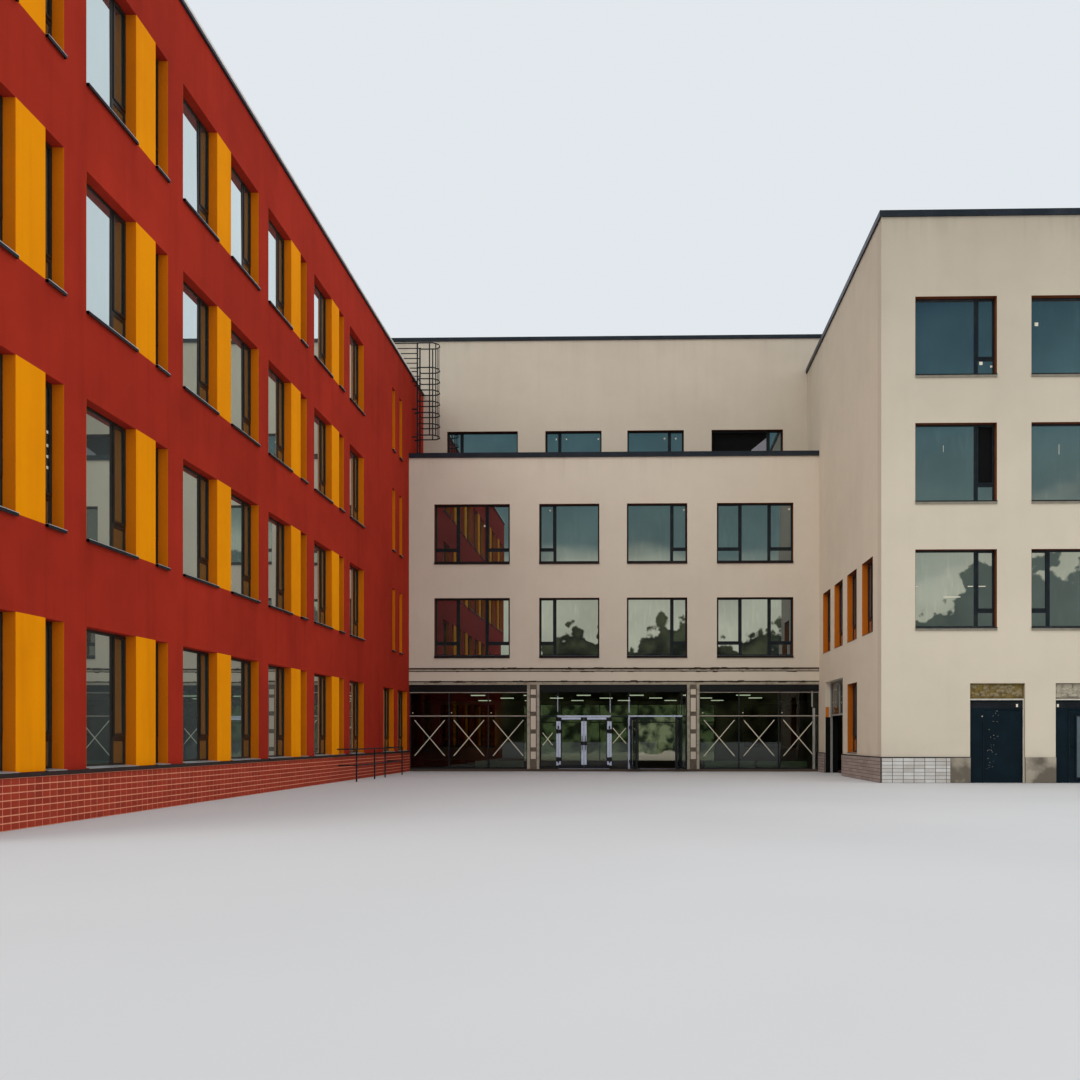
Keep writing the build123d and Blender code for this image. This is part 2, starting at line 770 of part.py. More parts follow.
with BuildPart() as left_side_windows:
    with BuildSketch(side_plane(-outer_x + reveal)):
        rectangles(grid(main_side_columns + red_windows, window_rows), Mode.ADD)
    extrude(amount=pane)
write(left_side_windows, "left_side_windows")

main_inner_depth = main_depth - wall
with BuildPart() as main_floors:
    for level in floor_levels:
        thickness = min(level, slab)
        with BuildSketch(Plane.XY.offset(level)):
            panel(wall - outer_x, main_y, main_length, main_inner_depth)
            if level == ground_slab:
                panel(-half_court, hall_y, courtyard_width, terrace_depth)
            elif level < main_front_bottom:
                panel(-half_court, hall_y + wall, courtyard_width, terrace_depth - wall)
        extrude(amount=-thickness)
write(main_floors, "main_floors")

with BuildPart() as main_roof:
    with BuildSketch(Plane.XY.offset(main_wall_top - roof_drop)):
        panel(wall - outer_x, main_y + wall, main_length, main_inner_depth - wall)
    extrude(amount=-slab)
write(main_roof, "main_roof")

with BuildPart() as main_coping:
    with BuildSketch(Plane.XY.offset(main_wall_top)):
        across = 2 * outer_x + 2 * coping_overhang
        panel(-outer_x - coping_overhang, main_y - coping_overhang, across, coping_width)
        panel(-outer_x - coping_overhang, back_y - wall - coping_overhang, across, coping_width)
        along_start = main_y + wall + coping_overhang + coping_joint
        along = main_depth - 2 * (wall + coping_overhang + coping_joint)
        panel(-outer_x - coping_overhang, along_start, coping_width, along)
        panel(outer_x - wall - coping_overhang, along_start, coping_width, along)
    extrude(amount=main_coping_height)
write(main_coping, "main_coping")

# Roof ladder: stiles, rungs and wall brackets in one welded piece
stile_x = -half_court + ladder_stand_off
ladder_near = hall_y + ladder_setback
ladder_far = ladder_near + ladder_width
with BuildPart() as roof_ladder:
    with BuildSketch(Plane.XY.offset(terrace_top)):
        panel(stile_x, ladder_near, stile_width, stile_thickness)
        panel(stile_x, ladder_far - stile_thickness, stile_width, stile_thickness)
    extrude(amount=ladder_top - terrace_top)
    rung_count = int((red_wall_top - terrace_top) / rung_pitch)
    with BuildSketch(Plane(origin=(0, ladder_near, 0), x_dir=(1, 0, 0), z_dir=(0, 1, 0))):
        with Locations(*[
            (stile_x + stile_width / 2, -terrace_top - rung_pitch * rung)
            for rung in range(1, rung_count + 1)
        ]):
            RegularPolygon(rung_radius, 6)
    extrude(amount=ladder_width)
    for rise in bracket_rises:
        with BuildSketch(Plane.XY.offset(terrace_top + rise)):
            panel(-half_court, ladder_near, ladder_stand_off, stile_thickness)
            panel(-half_court, ladder_far - stile_thickness, ladder_stand_off, stile_thickness)
        extrude(amount=stile_width)
write(roof_ladder, "roof_ladder")

ladder_middle = (ladder_near + ladder_far) / 2
hoop_front = stile_x + stile_width
hoop_levels = [cage_first_hoop + cage_hoop_pitch * hoop for hoop in range(cage_low_hoops)]
hoop_levels.append(ladder_top - cage_band)
hoop_radius = cage_width / 2
arc_x = hoop_front + cage_depth - hoop_radius


def hoop_outline(inset, mode):
    """Plan of a hoop: straight sides and half an octagon, its flats square to the bars."""
    reach = hoop_radius - inset
    panel(hoop_front, ladder_middle - reach, arc_x - hoop_front, 2 * reach, mode)
    with Locations((arc_x, ladder_middle)):
        RegularPolygon(reach, 8, major_radius=False, rotation=22.5, mode=mode)


foot = hoop_radius - ladder_width / 2 + stile_thickness
with BuildPart() as ladder_hoops:
    for level in hoop_levels:
        with BuildSketch(Plane.XY.offset(level)) as hoop:
            hoop_outline(0, Mode.ADD)
            hoop_outline(cage_band_thickness, Mode.SUBTRACT)
            panel(hoop_front, ladder_middle - hoop_radius, cage_band_thickness, foot)
            panel(hoop_front, ladder_middle + hoop_radius - foot, cage_band_thickness, foot)
        extrude(hoop.sketch, amount=cage_band)
write(ladder_hoops, "ladder_hoops")

with BuildPart() as ladder_straps:
    with BuildSketch(Plane.XY.offset(hoop_levels[0])):
        for turn in (-90, -45, 0, 45, 90):
            with Locations((arc_x, ladder_middle)):
                with PolarLocations(hoop_radius - cage_band_thickness * 1.5, 1, start_angle=turn):
                    Rectangle(cage_band_thickness, cage_band)
    extrude(amount=hoop_levels[-1] - hoop_levels[0] + cage_band)
write(ladder_straps, "ladder_straps")

with BuildPart() as roof_guard_rails:
    roof_top = red_wall_top - roof_drop
    rail_end = stile_x - guard_run
    for side_y in (ladder_near - guard_bar, ladder_far):
        with BuildSketch(Plane.XY.offset(roof_top)):
            panel(rail_end, side_y, guard_bar, guard_bar)
        extrude(amount=guard_rail_heights[0] - roof_top)
        for top in guard_rail_heights:
            with BuildSketch(Plane.XY.offset(top)):
                panel(rail_end, side_y, guard_run + stile_width, guard_bar)
            extrude(amount=-guard_bar)
write(roof_guard_rails, "roof_guard_rails")

# Guard railing: posts and two rails, returned to the wall at both ends
with BuildPart() as foot_railing:
    railing_x = -half_court + railing_stand_off
    railing_posts = [hall_y - setback for setback in railing_setbacks]
    with BuildSketch(Plane.XY):
        for post in railing_posts:
            panel(railing_x, post, railing_post, railing_post)
    extrude(amount=railing_height)
    for rail in railing_rails:
        with BuildSketch(Plane.XY.offset(rail)):
            reach = railing_posts[-1] + railing_post - railing_posts[0]
            panel(railing_x, railing_posts[0], railing_post, reach)
            for post in (railing_posts[0], railing_posts[-1]):
                proud = 0 if rail > red_plinth_height else plinth_proud
                wall_line = -half_court + proud
                panel(wall_line, post, railing_x - wall_line, railing_post)
        extrude(amount=railing_post)
write(foot_railing, "foot_railing")
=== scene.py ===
# %% [markdown]
# A four-storey school building round a courtyard, shown at half its real size. The walls, floors,
# roofs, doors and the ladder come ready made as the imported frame, in metres. This lesson dresses
# them: rendered walls, window frames with their sashes, tiles, sills, stains and the glazed entrance.

# %% Load the frame
import json
import math
from functools import partialmethod
from itertools import pairwise

import bpy
import numpy as np
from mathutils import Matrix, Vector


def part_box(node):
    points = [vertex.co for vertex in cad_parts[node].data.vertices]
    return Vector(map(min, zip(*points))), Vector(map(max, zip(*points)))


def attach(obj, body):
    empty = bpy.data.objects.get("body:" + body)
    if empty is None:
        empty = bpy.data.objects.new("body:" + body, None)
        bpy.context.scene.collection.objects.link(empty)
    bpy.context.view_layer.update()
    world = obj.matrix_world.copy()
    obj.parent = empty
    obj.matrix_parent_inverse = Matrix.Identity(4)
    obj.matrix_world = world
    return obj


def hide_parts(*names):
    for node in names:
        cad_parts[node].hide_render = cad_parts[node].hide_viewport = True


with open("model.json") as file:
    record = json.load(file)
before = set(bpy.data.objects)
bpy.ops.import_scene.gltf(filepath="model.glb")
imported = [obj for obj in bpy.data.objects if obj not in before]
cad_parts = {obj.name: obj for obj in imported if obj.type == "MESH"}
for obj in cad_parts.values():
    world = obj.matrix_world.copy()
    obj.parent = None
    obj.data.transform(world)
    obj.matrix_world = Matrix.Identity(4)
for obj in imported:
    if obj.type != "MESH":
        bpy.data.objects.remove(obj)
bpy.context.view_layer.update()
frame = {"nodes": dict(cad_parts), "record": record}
nodes = frame["nodes"]
ROOT = "building"

# %% [markdown]
# The camera stands at eye height in the open end of the courtyard. The photographer kept the
# uprights upright, which a lens does by shifting, not by tilting, so the camera looks level and the
# picture is shifted up and sideways.

# %% Camera
EYE = (0.435, -18.425, 0.6925)
EYE_TURN = 1.34
LENS_SHIFT = (-0.0644, 0.1833)
camera_data = bpy.data.cameras.new("eye")
camera_data.lens = 35.0
camera_data.sensor_width = 36.0
camera_data.shift_x, camera_data.shift_y = LENS_SHIFT
camera_data.clip_end = 200.0
camera = bpy.data.objects.new("eye", camera_data)
camera.location = EYE
camera.rotation_euler = (math.radians(90), 0, math.radians(EYE_TURN))
bpy.context.scene.collection.objects.link(camera)
bpy.context.scene.camera = camera
bpy.context.scene.view_settings.view_transform = "Standard"
print("the camera stands at", EYE)

# %% [markdown]
# Colours are written the way a paint chart gives them, as 0 to 255, and turned into the linear
# values that the shaders work in.


# %% Colours
def paint(red, green, blue):
    """Chart colour to linear: each channel c becomes ((c + 0.055) / 1.055) ** 2.4, or c / 12.92."""
    channels = np.array([red, green, blue]) / 255.0
    bent = ((channels + 0.055) / 1.055) ** 2.4
    linear = np.where(channels <= 0.04045, channels / 12.92, bent)
    return (*[float(value) for value in linear], 1.0)


print("half grey is", round(paint(128, 128, 128)[0], 3), "in linear values")

# %% [markdown]
# Shader trees are written as sums: a Value stands for one output of a tree, and each sign between
# two values adds the Math node that does it.


# %% Shader values
def feed(socket, value):
    """Link a Value to an input, or set a plain number or colour on it."""
    if isinstance(value, Value):
        value.tree.links.new(value.socket, socket)
    else:
        socket.default_value = value


class Value:
    """One output of a shader tree."""

    def __init__(self, tree, socket):
        self.tree = tree
        self.socket = socket

    def reckon(self, operation, second, first=None):
        """A Math node of this value, or of first, with a second value or number."""
        node = self.tree.nodes.new("ShaderNodeMath")
        node.operation = operation
        feed(node.inputs[0], self if first is None else first)
        feed(node.inputs[1], second)
        return Value(self.tree, node.outputs[0])

    __add__ = partialmethod(reckon, "ADD")
    __sub__ = partialmethod(reckon, "SUBTRACT")
    __mul__ = partialmethod(reckon, "MULTIPLY")
    __truediv__ = partialmethod(reckon, "DIVIDE")
    __pow__ = partialmethod(reckon, "POWER")

    def __rsub__(self, other):
        """A plain number minus this value."""
        return self.reckon("SUBTRACT", self, other)

    def clamped(self):
        """The same value, kept between 0 and 1."""
        self.socket.node.use_clamp = True
        return self

    def ramp(self, low, high):
        """Stretched so that low gives 0 and high gives 1."""
        return new_value(self.tree, "MapRange", 0, Value=self, From_Min=low, From_Max=high)


def new_value(tree, kind, output, **inputs):
    """A new node with its named inputs fed, as the Value of one of its outputs."""
    node = tree.nodes.new("ShaderNode" + kind)
    for label, value in inputs.items():
        feed(node.inputs[label.replace("_", " ")], value)
    return Value(tree, node.outputs[output])


def mix(factor, first, second):
    """Colour from first to second by a factor."""
    node = factor.tree.nodes.new("ShaderNodeMix")
    node.data_type = "RGBA"
    for index, value in ((0, factor), (6, first), (7, second)):
        feed(node.inputs[index], value)
    return Value(factor.tree, node.outputs[2])


def axis(place, letter):
    """X, Y or Z of a place."""
    return new_value(place.tree, "SeparateXYZ", letter, Vector=place)


def noise(place, scale, detail=4.0, stretch=(1, 1, 1)):
    """Noise read at place times stretch."""
    mapped = new_value(place.tree, "Mapping", 0, Vector=place, Scale=stretch)
    return new_value(place.tree, "TexNoise", "Fac", Vector=mapped, Scale=scale, Detail=detail)


# %% [markdown]
# A render wall is never one colour: broad clouds from the mixing, rain streaks that run down, grime
# under the coping and splashes near the ground. Every wall finish here uses the same group with its
# own strengths, so the group is built once.

# %% The weathered render group
WEATHER_COLOURS = ("Base", "Dirt")
WEATHER_NUMBERS = ("Clouds", "Streaks", "Top", "Splash", "Rise")
MOST_DIRT = 0.85


def build_weather():
    """Colour = base, darkened by clouds, streaks, a top grime band, ground splash and height."""
    group = bpy.data.node_groups.new("weathered_render", "ShaderNodeTree")
    for label in WEATHER_COLOURS:
        group.interface.new_socket(label, in_out="INPUT", socket_type="NodeSocketColor")
    for label in WEATHER_NUMBERS:
        group.interface.new_socket(label, in_out="INPUT", socket_type="NodeSocketFloat")
    group.interface.new_socket("Color", in_out="OUTPUT", socket_type="NodeSocketColor")
    group.interface.new_socket("Height", in_out="OUTPUT", socket_type="NodeSocketFloat")
    given = group.nodes.new("NodeGroupInput").outputs
    out = group.nodes.new("NodeGroupOutput").inputs
    base, soiled = [Value(group, given[label]) for label in WEATHER_COLOURS]
    cloudy, streaky, top, splashed, rising = [Value(group, given[label]) for label in WEATHER_NUMBERS]
    place = new_value(group, "TexCoord", "Object")
    height = axis(place, "Z")
    clouds = noise(place, 0.55, 5.0).ramp(0.35, 0.7)
    patches = noise(place, 2.6, 6.0).ramp(0.4, 0.75)
    streaks = noise(place, 3.2, 5.0, (1, 1, 0.09)).ramp(0.5, 0.78)
    rills = noise(place, 11.0, 3.0, (1, 1, 0.05)).ramp(0.52, 0.8)
    grain = noise(place, 160.0, 2.0)
    rain = streaks + rills * 0.6
    top_band = (1.0 - (top - height) * 2.2).clamped()
    foot_band = (1.0 - height * 1.4).clamped()
    dirt = clouds * cloudy + patches * cloudy * 0.5
    dirt = dirt + rain * streaky + top_band * (rain * 0.12)
    dirt = dirt + foot_band * (patches + 0.25) * splashed
    dirt = dirt + (height / top) ** 3.0 * rising
    dirt = dirt.reckon("MINIMUM", MOST_DIRT)
    bright = group.nodes.new("ShaderNodeVectorMath")
    bright.operation = "SCALE"
    feed(bright.inputs[0], mix(dirt, base, soiled))
    feed(bright.inputs["Scale"], (grain - 0.5) * 0.25 + 1.0)
    feed(out["Color"], Value(group, bright.outputs[0]))
    feed(out["Height"], grain * 0.7 + patches * 0.3)
    print(len(group.nodes), "nodes in the render group")
    return group


weather = build_weather()

# %% [markdown]
# Every material starts from one plain shader and reads Object coordinates, so that its texture keeps
# its real size on any piece. Two recipes build on that: weathered render and worn paint.

# %% Material helpers
finishes = {}


def shader(name, roughness=0.6, metallic=0.0, specular=0.5):
    """A new material in finishes. Its shader's inputs and its Object coordinates are returned."""
    material = bpy.data.materials.new(name)
    material.use_nodes = True
    inputs = material.node_tree.nodes["Principled BSDF"].inputs
    inputs["Roughness"].default_value = roughness
    inputs["Metallic"].default_value = metallic
    inputs["Specular IOR Level"].default_value = specular
    finishes[name] = material
    return inputs, new_value(material.node_tree, "TexCoord", "Object")


def bump(inputs, height, strength, distance):
    """Bump from a height value into the shader's normal."""
    bent = new_value(height.tree, "Bump", 0, Strength=strength, Distance=distance, Height=height)
    feed(inputs["Normal"], bent)


def render_finish(name, base, dirt, *strengths):
    """Mineral render: the weathered group feeds colour and bump."""
    inputs, place = shader(name, 0.92, 0.0, 0.05)
    node = place.tree.nodes.new("ShaderNodeGroup")
    node.node_tree = weather
    for label, value in zip(WEATHER_COLOURS + WEATHER_NUMBERS, (paint(*base), paint(*dirt), *strengths)):
        node.inputs[label].default_value = value
    feed(inputs["Base Color"], Value(place.tree, node.outputs["Color"]))
    bump(inputs, Value(place.tree, node.outputs["Height"]), 0.35, 0.004)


def worn_paint(name, colour, worn, roughness, metallic, scale, amount, specular=0.3):
    """Painted or bare sheet: noise wears one colour into another and changes the gloss."""
    inputs, place = shader(name, roughness, metallic, specular)
    wear = noise(place, scale, 5.0).ramp(0.45, 0.8) * amount
    feed(inputs["Base Color"], mix(wear, paint(*colour), paint(*worn)))
    feed(inputs["Roughness"], wear * 0.3 + roughness)
    bump(inputs, noise(place, scale * 6, 3.0), 0.15, 0.002)


# %% [markdown]
# The finishes of this building: a red render with strong rain streaks on the long wing, a cream one
# on the rest, yellow piers, dark window metal, and dull roofing. A render's strengths are clouds,
# streaks, the height of the wall's top, so that the grime band hangs under its own coping, splash
# and how much the wall darkens with height.

# %% Render finishes
RED_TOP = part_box("red_courtyard_wall")[1][2]
RIGHT_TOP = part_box("right_front_wall")[1][2]
HALL_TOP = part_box("hall_front_wall")[1][2]
MAIN_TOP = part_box("main_front_wall")[1][2]
NO_TOP = 20.0
for row in (
    ("red_render", (180, 51, 34), (112, 28, 18), 0.3, 0.22, RED_TOP, 0.2, 0.0),
    ("cream_right", (218, 206, 184), (122, 112, 96), 0.08, 0.03, RIGHT_TOP, 0.2, 0.42),
    # the same cream made lighter: painted light on the courtyard face, which the red wing opposite keeps in
    # shade
    ("cream_side_lightened", (228, 216, 193), (126, 115, 99), 0.08, 0.03, RIGHT_TOP, 0.2, 0.42),
    ("cream_hall", (222, 210, 190), (126, 108, 90), 0.08, 0.03, HALL_TOP, 0.2, 0.0),
    ("cream_main", (212, 200, 180), (130, 118, 98), 0.1, 0.05, MAIN_TOP, 0.3, 0.1),
    ("pier_yellow", (252, 157, 2), (204, 110, 4), 0.2, 0.25, RED_TOP, 0.0, 0.0),
    ("reveal_orange", (232, 124, 12), (160, 78, 12), 0.25, 0.2, RED_TOP, 0.0, 0.0),
    ("reveal_side", (202, 108, 26), (130, 64, 18), 0.3, 0.1, RIGHT_TOP, 0.0, 0.0),
    # orange lining darkened to brown: painted shade
    ("reveal_shaded_brown", (140, 80, 46), (76, 42, 26), 0.3, 0.1, NO_TOP, 0.0, 0.0),
    # darker still: painted shade on the undersides of the heads
    ("head_shaded_brown", (112, 62, 38), (60, 34, 24), 0.3, 0.1, NO_TOP, 0.0, 0.0),
    ("stained", (192, 182, 162), (84, 76, 66), 0.3, 0.2, NO_TOP, 1.6, 0.0),
    ("concrete", (92, 80, 68), (52, 46, 40), 0.3, 0.1, NO_TOP, 0.0, 0.0),
):
    render_finish(*row)
print(len(finishes), "renders")

# %% [markdown]
# Sheet metal, paint, tape, film, mortar and foam share one recipe. So do the painted highlights on the
# coping, the sill tops and the entrance ledges, the sill foot lightened with painted light, and the black
# sheets of painted shade. A row gives the colour and what it wears to, then roughness, metal, the size of
# the wear, its amount and, where it is dull, its shine.

# %% Paint, metal, building dirt and painted light
for row in (
    ("roofing", (92, 92, 94), (58, 58, 60), 0.85, 0.0, 2.5, 0.8),
    ("coping_metal", (38, 45, 53), (60, 66, 74), 0.45, 0.3, 3.0, 0.6),
    # painted highlight: the sky's shine along the top edge of the dark coping
    ("coping_highlight", (232, 226, 218), (190, 180, 172), 0.6, 0.0, 4.0, 0.5),
    ("frame_warm", (30, 29, 25), (64, 54, 40), 0.4, 0.2, 9.0, 0.5),
    ("frame_metal", (24, 33, 40), (58, 60, 52), 0.4, 0.2, 9.0, 0.5),
    # dark flashing; also the dark sill foot on the hall and the top floor, painted shade under the sill
    ("flashing_dark_and_sill_shade", (40, 26, 24), (70, 54, 48), 0.5, 0.2, 7.0, 0.6),
    ("sill_metal", (26, 28, 32), (54, 50, 48), 0.6, 0.0, 7.0, 0.6, 0.15),
    # painted highlight: the sky's shine on the sill tops, a lighter copy of the dark sill metal
    ("sill_highlight", (196, 200, 204), (160, 160, 158), 0.3, 0.6, 5.0, 0.6),
    # lightened with painted light: the foot sits in the shade of the sill's lip
    ("sill_foot_lightened", (142, 136, 120), (108, 102, 88), 0.7, 0.0, 9.0, 0.6),
    ("dark_steel", (34, 40, 46), (70, 62, 54), 0.5, 0.4, 12.0, 0.5),
    ("door_steel", (10, 28, 36), (22, 40, 50), 0.5, 0.0, 4.0, 0.6, 0.1),
    ("bare_aluminium", (150, 156, 150), (104, 110, 104), 0.4, 0.6, 12.0, 0.5),
    ("header_panel", (12, 16, 19), (26, 30, 33), 0.35, 0.1, 3.0, 0.6),
    ("convector_paint", (232, 250, 236), (200, 222, 206), 0.5, 0.0, 9.0, 0.5),
    # painted highlight: the light caught by the entrance ledges
    ("ledge_highlight", (206, 194, 176), (160, 146, 128), 0.5, 0.0, 6.0, 0.6),
    ("grey_frame", (158, 158, 150), (116, 116, 110), 0.5, 0.0, 9.0, 0.5),
    ("panel_grey", (78, 92, 98), (108, 120, 124), 0.3, 0.0, 5.0, 0.6),
    ("dark_pane", (16, 20, 26), (40, 44, 50), 0.12, 0.0, 4.0, 0.5),
    ("shard_glass", (150, 150, 158), (110, 112, 120), 0.3, 0.0, 8.0, 0.5),
    # painted shade: black sheets for the dark room behind open panes and for the side doorway's jamb
    ("painted_shade_black", (7, 7, 7), (16, 14, 12), 0.9, 0.0, 3.0, 0.6),
    ("orange_strip", (214, 120, 30), (150, 80, 20), 0.8, 0.0, 8.0, 0.4),
    ("tape_white", (232, 226, 204), (196, 188, 166), 0.6, 0.0, 30.0, 0.4),
    ("tape_black", (14, 16, 22), (30, 32, 38), 0.5, 0.0, 30.0, 0.4),
    ("film_pale", (198, 210, 232), (236, 242, 248), 0.35, 0.0, 16.0, 0.8),
    ("mortar", (112, 102, 88), (74, 66, 56), 0.95, 0.0, 24.0, 0.9),
    # painted shade: the dark lines and crumbs along the channels' edges
    ("groove_shade", (58, 46, 32), (34, 28, 22), 0.95, 0.0, 20.0, 0.9),
    ("channel_render", (176, 166, 146), (126, 114, 92), 0.95, 0.0, 9.0, 0.9),
    ("bare_board", (126, 106, 56), (66, 52, 26), 0.95, 0.0, 12.0, 1.0),
    ("bare_block", (176, 168, 148), (118, 108, 92), 0.95, 0.0, 12.0, 0.9),
    ("foam_ochre", (142, 128, 96), (88, 74, 42), 0.95, 0.0, 22.0, 1.0),
    ("foam_white", (206, 200, 184), (150, 142, 124), 0.9, 0.0, 26.0, 0.7),
    ("joint_red", (240, 160, 126), (206, 134, 106), 0.9, 0.0, 20.0, 0.6),
    ("joint_grey", (96, 88, 80), (60, 54, 50), 0.9, 0.0, 20.0, 0.6),
):
    worn_paint(*row)
lamp_inputs, _ = shader("lamp_white", 0.4)
lamp_inputs["Base Color"].default_value = paint(240, 244, 236)
lamp_inputs["Emission Color"].default_value = paint(255, 252, 240)
lamp_inputs["Emission Strength"].default_value = 1.2
print(len(finishes), "finishes so far")

# %% [markdown]
# Coated window glass hides the room behind it and mirrors about a quarter of the sky, more so the
# flatter it is looked at: a metal with a dark colour does just that. Each pane leans a hair its own
# way, so the mirrored sky breaks from pane to pane. Only the hall's ground floor is seen through.


# %% Glass finishes
def window_glass(name, colour, grazing, metallic):
    """Mirroring glass: colour is the share of light it throws straight back, grazing the share it
    throws back when looked at almost along the pane, and dirt varies both."""
    inputs, place = shader(name, 0.008, metallic)
    duller = tuple(channel * 0.7 for channel in colour)
    straight = mix(noise(place, 0.9, 4.0).ramp(0.3, 0.75), (*colour, 1.0), (*duller, 1.0))
    streaks = noise(place, 16.0, 7.0, (1, 1, 0.16)).ramp(0.52, 0.80)
    straight = mix(streaks * 0.12, straight, (0.62, 0.64, 0.60, 1.0))
    facing = new_value(place.tree, "LayerWeight", "Facing", Blend=0.5)
    feed(inputs["Base Color"], mix(facing ** 1.3, straight, (*grazing, 1.0)))


def clear_glass(name, tint, leaf=None, shade=None):
    """See-through pane. With leaf and shade, the tint only fills its foot, as paving does behind
    the hall, and the green of the garden breaks up the rest."""
    inputs, place = shader(name, 0.01)
    inputs["Base Color"].default_value = paint(*tint)
    if leaf is not None:
        green = mix(noise(place, 3.4, 8.0).ramp(0.42, 0.58), paint(*leaf), paint(*shade))
        foot = (axis(place, "Z") - noise(place, 2.2) * 0.35).ramp(0.10, 0.14)
        feed(inputs["Base Color"], mix(foot, paint(*tint), green))
    inputs["Transmission Weight"].default_value = 1.0
    inputs["IOR"].default_value = 1.45


window_glass("glass_dark", (0.26, 0.32, 0.33), (0.68, 0.71, 0.71), 0.93)
window_glass("glass_wing", (0.27, 0.34, 0.34), (0.70, 0.82, 0.77), 0.90)
# darker glass for the sashes: painted shade in their reflection of the piers' sides
window_glass("glass_sash_shaded", (0.22, 0.28, 0.27), (0.35, 0.55, 0.48), 0.93)
clear_glass("glass_clear", (146, 162, 142))
clear_glass("glass_back", (150, 144, 126), (98, 106, 74), (26, 34, 24))
print([name for name in finishes if name.startswith("glass")])

# %% [markdown]
# The tiles and the pale joints between them come as real little slabs, so their finishes only need
# a change of tone from tile to tile. A tile is a loose island of its mesh, and Geometry's Random Per
# Island gives each one its own number, which picks its tone.


# %% Tile finishes
def tile_finish(name, first, second, roughness, specular):
    """Tone = the random number of each loose tile, plus slow clouds over the whole field."""
    inputs, place = shader(name, roughness, 0.0, specular)
    own = new_value(place.tree, "NewGeometry", "Random Per Island")
    tone = (own * 0.7 + noise(place, 6.0).ramp(0.4, 0.7) * 0.4).clamped()
    feed(inputs["Base Color"], mix(tone, paint(*first), paint(*second)))
    bump(inputs, noise(place, 90.0, 3.0), 0.2, 0.002)


tile_finish("clinker", (172, 62, 40), (150, 52, 34), 0.7, 0.12)
tile_finish("pale_tile", (214, 212, 206), (186, 180, 170), 0.55, 0.5)
tile_finish("side_tile", (178, 162, 152), (150, 134, 126), 0.7, 0.5)
print(len(finishes), "finishes in all")

# %% [markdown]
# The solids that came with the frame keep their shape and only get a finish each.

# %% Finishes on the carried-over solids
worn_by = {
    "red_render": ("red_courtyard_wall", "red_outer_wall", "red_end_wall"),
    "pier_yellow": ("red_window_piers",),
    "cream_right": ("right_front_wall", "right_front_base", "right_side_wall"),
    "cream_side_lightened": ("right_courtyard_wall", "right_courtyard_base"),
    "cream_hall": ("hall_front_wall",),
    "cream_main": ("main_front_wall", "main_back_wall", "main_end_walls"),
    "concrete": ("red_floors", "right_floors", "main_floors", "door_head_boards"),
    "roofing": ("red_roof", "right_roof", "terrace_roof", "main_roof"),
    "coping_metal": ("red_coping", "right_coping", "terrace_coping", "main_coping"),
    "joint_red": ("red_plinth",),
    "joint_grey": ("cream_plinth",),
    "grey_frame": ("side_door_posts", "side_door_transom"),
    "door_steel": ("service_door_frames", "service_door_1", "service_door_2"),
    "mortar": ("entrance_pilasters",),
    "header_panel": ("entrance_header",),
    "dark_steel": ("roof_ladder", "ladder_hoops", "ladder_straps", "roof_guard_rails", "foot_railing"),
}
for finish, names in worn_by.items():
    for name in names:
        mesh = nodes[name].data
        mesh.materials.clear()
        mesh.materials.append(finishes[finish])
print(sum(map(len, worn_by.values())), "solids got a finish")

# %% [markdown]
# Most of what is added lies on a wall. So each wall gets its own small frame of reference: a
# distance along it, a height, and how far a point stands out of its face. Shapes are worked out in
# those three numbers as whole arrays and turned into the building's frame in one step.


# %% Walls as places to work from
class Wall:
    """A wall face: along and out are unit directions in plan, at is a point on the face."""

    def __init__(self, along, out, at):
        self.along = np.array(along, float)
        self.out = np.array(out, float)
        self.at = np.array(at, float)
        self.flips = np.cross(self.along, self.out)[2] > 0

    def place(self, points):
        """(distance, height, stand-out) rows to X, Y, Z: at + d along + h up + s out."""
        return self.at + points @ np.array([self.along, (0.0, 0.0, 1.0), self.out])


def looks_south(y):
    """A face that looks down the courtyard."""
    return Wall((1, 0, 0), (0, -1, 0), (0, y, 0))


RED_END, RED_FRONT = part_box("red_end_wall")[0][1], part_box("red_courtyard_wall")[0][1]
COURT_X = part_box("right_courtyard_wall")[0][0]
OUTER_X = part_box("right_side_wall")[1][0]
RIGHT_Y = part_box("right_front_wall")[0][1]
HALL_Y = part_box("hall_front_wall")[0][1]
MAIN_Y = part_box("main_front_wall")[0][1]
BACK_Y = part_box("main_back_wall")[1][1]
red_end, right_front, hall_front, main_front = map(looks_south, (RED_END, RIGHT_Y, HALL_Y, MAIN_Y))
red_court = Wall((0, 1, 0), (1, 0, 0), (-COURT_X, 0, 0))
left_side = Wall((0, 1, 0), (-1, 0, 0), (-OUTER_X, 0, 0))
right_court = Wall((0, 1, 0), (-1, 0, 0), (COURT_X, 0, 0))
right_side = Wall((0, 1, 0), (1, 0, 0), (OUTER_X, 0, 0))
back_side = Wall((1, 0, 0), (0, 1, 0), (0, BACK_Y, 0))
print("courtyard from", -COURT_X, "to", COURT_X)

# %% [markdown]
# A piece is made from two arrays, its points and its quads. It rides on one body of the frame, so
# that what hangs on a door turns with the door.


# %% From arrays to a piece
def piece(name, wall, shape, finish, body=ROOT):
    """A mesh from a shape's points and quads. A mirrored wall turns its quads round."""
    points, quads = shape
    if wall.flips:
        quads = quads[:, ::-1]
    mesh = bpy.data.meshes.new(name)
    mesh.from_pydata(wall.place(points).tolist(), [], quads.tolist())
    mesh.validate()
    mesh.materials.append(finishes[finish])
    made = bpy.data.objects.new(name, mesh)
    bpy.context.scene.collection.objects.link(made)
    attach(made, body)
    return made


# %% [markdown]
# Most trim is sheet or bar, so cuboids are made many at a time, one row of numbers for each. The
# eight corners of all of them are worked out in one step.

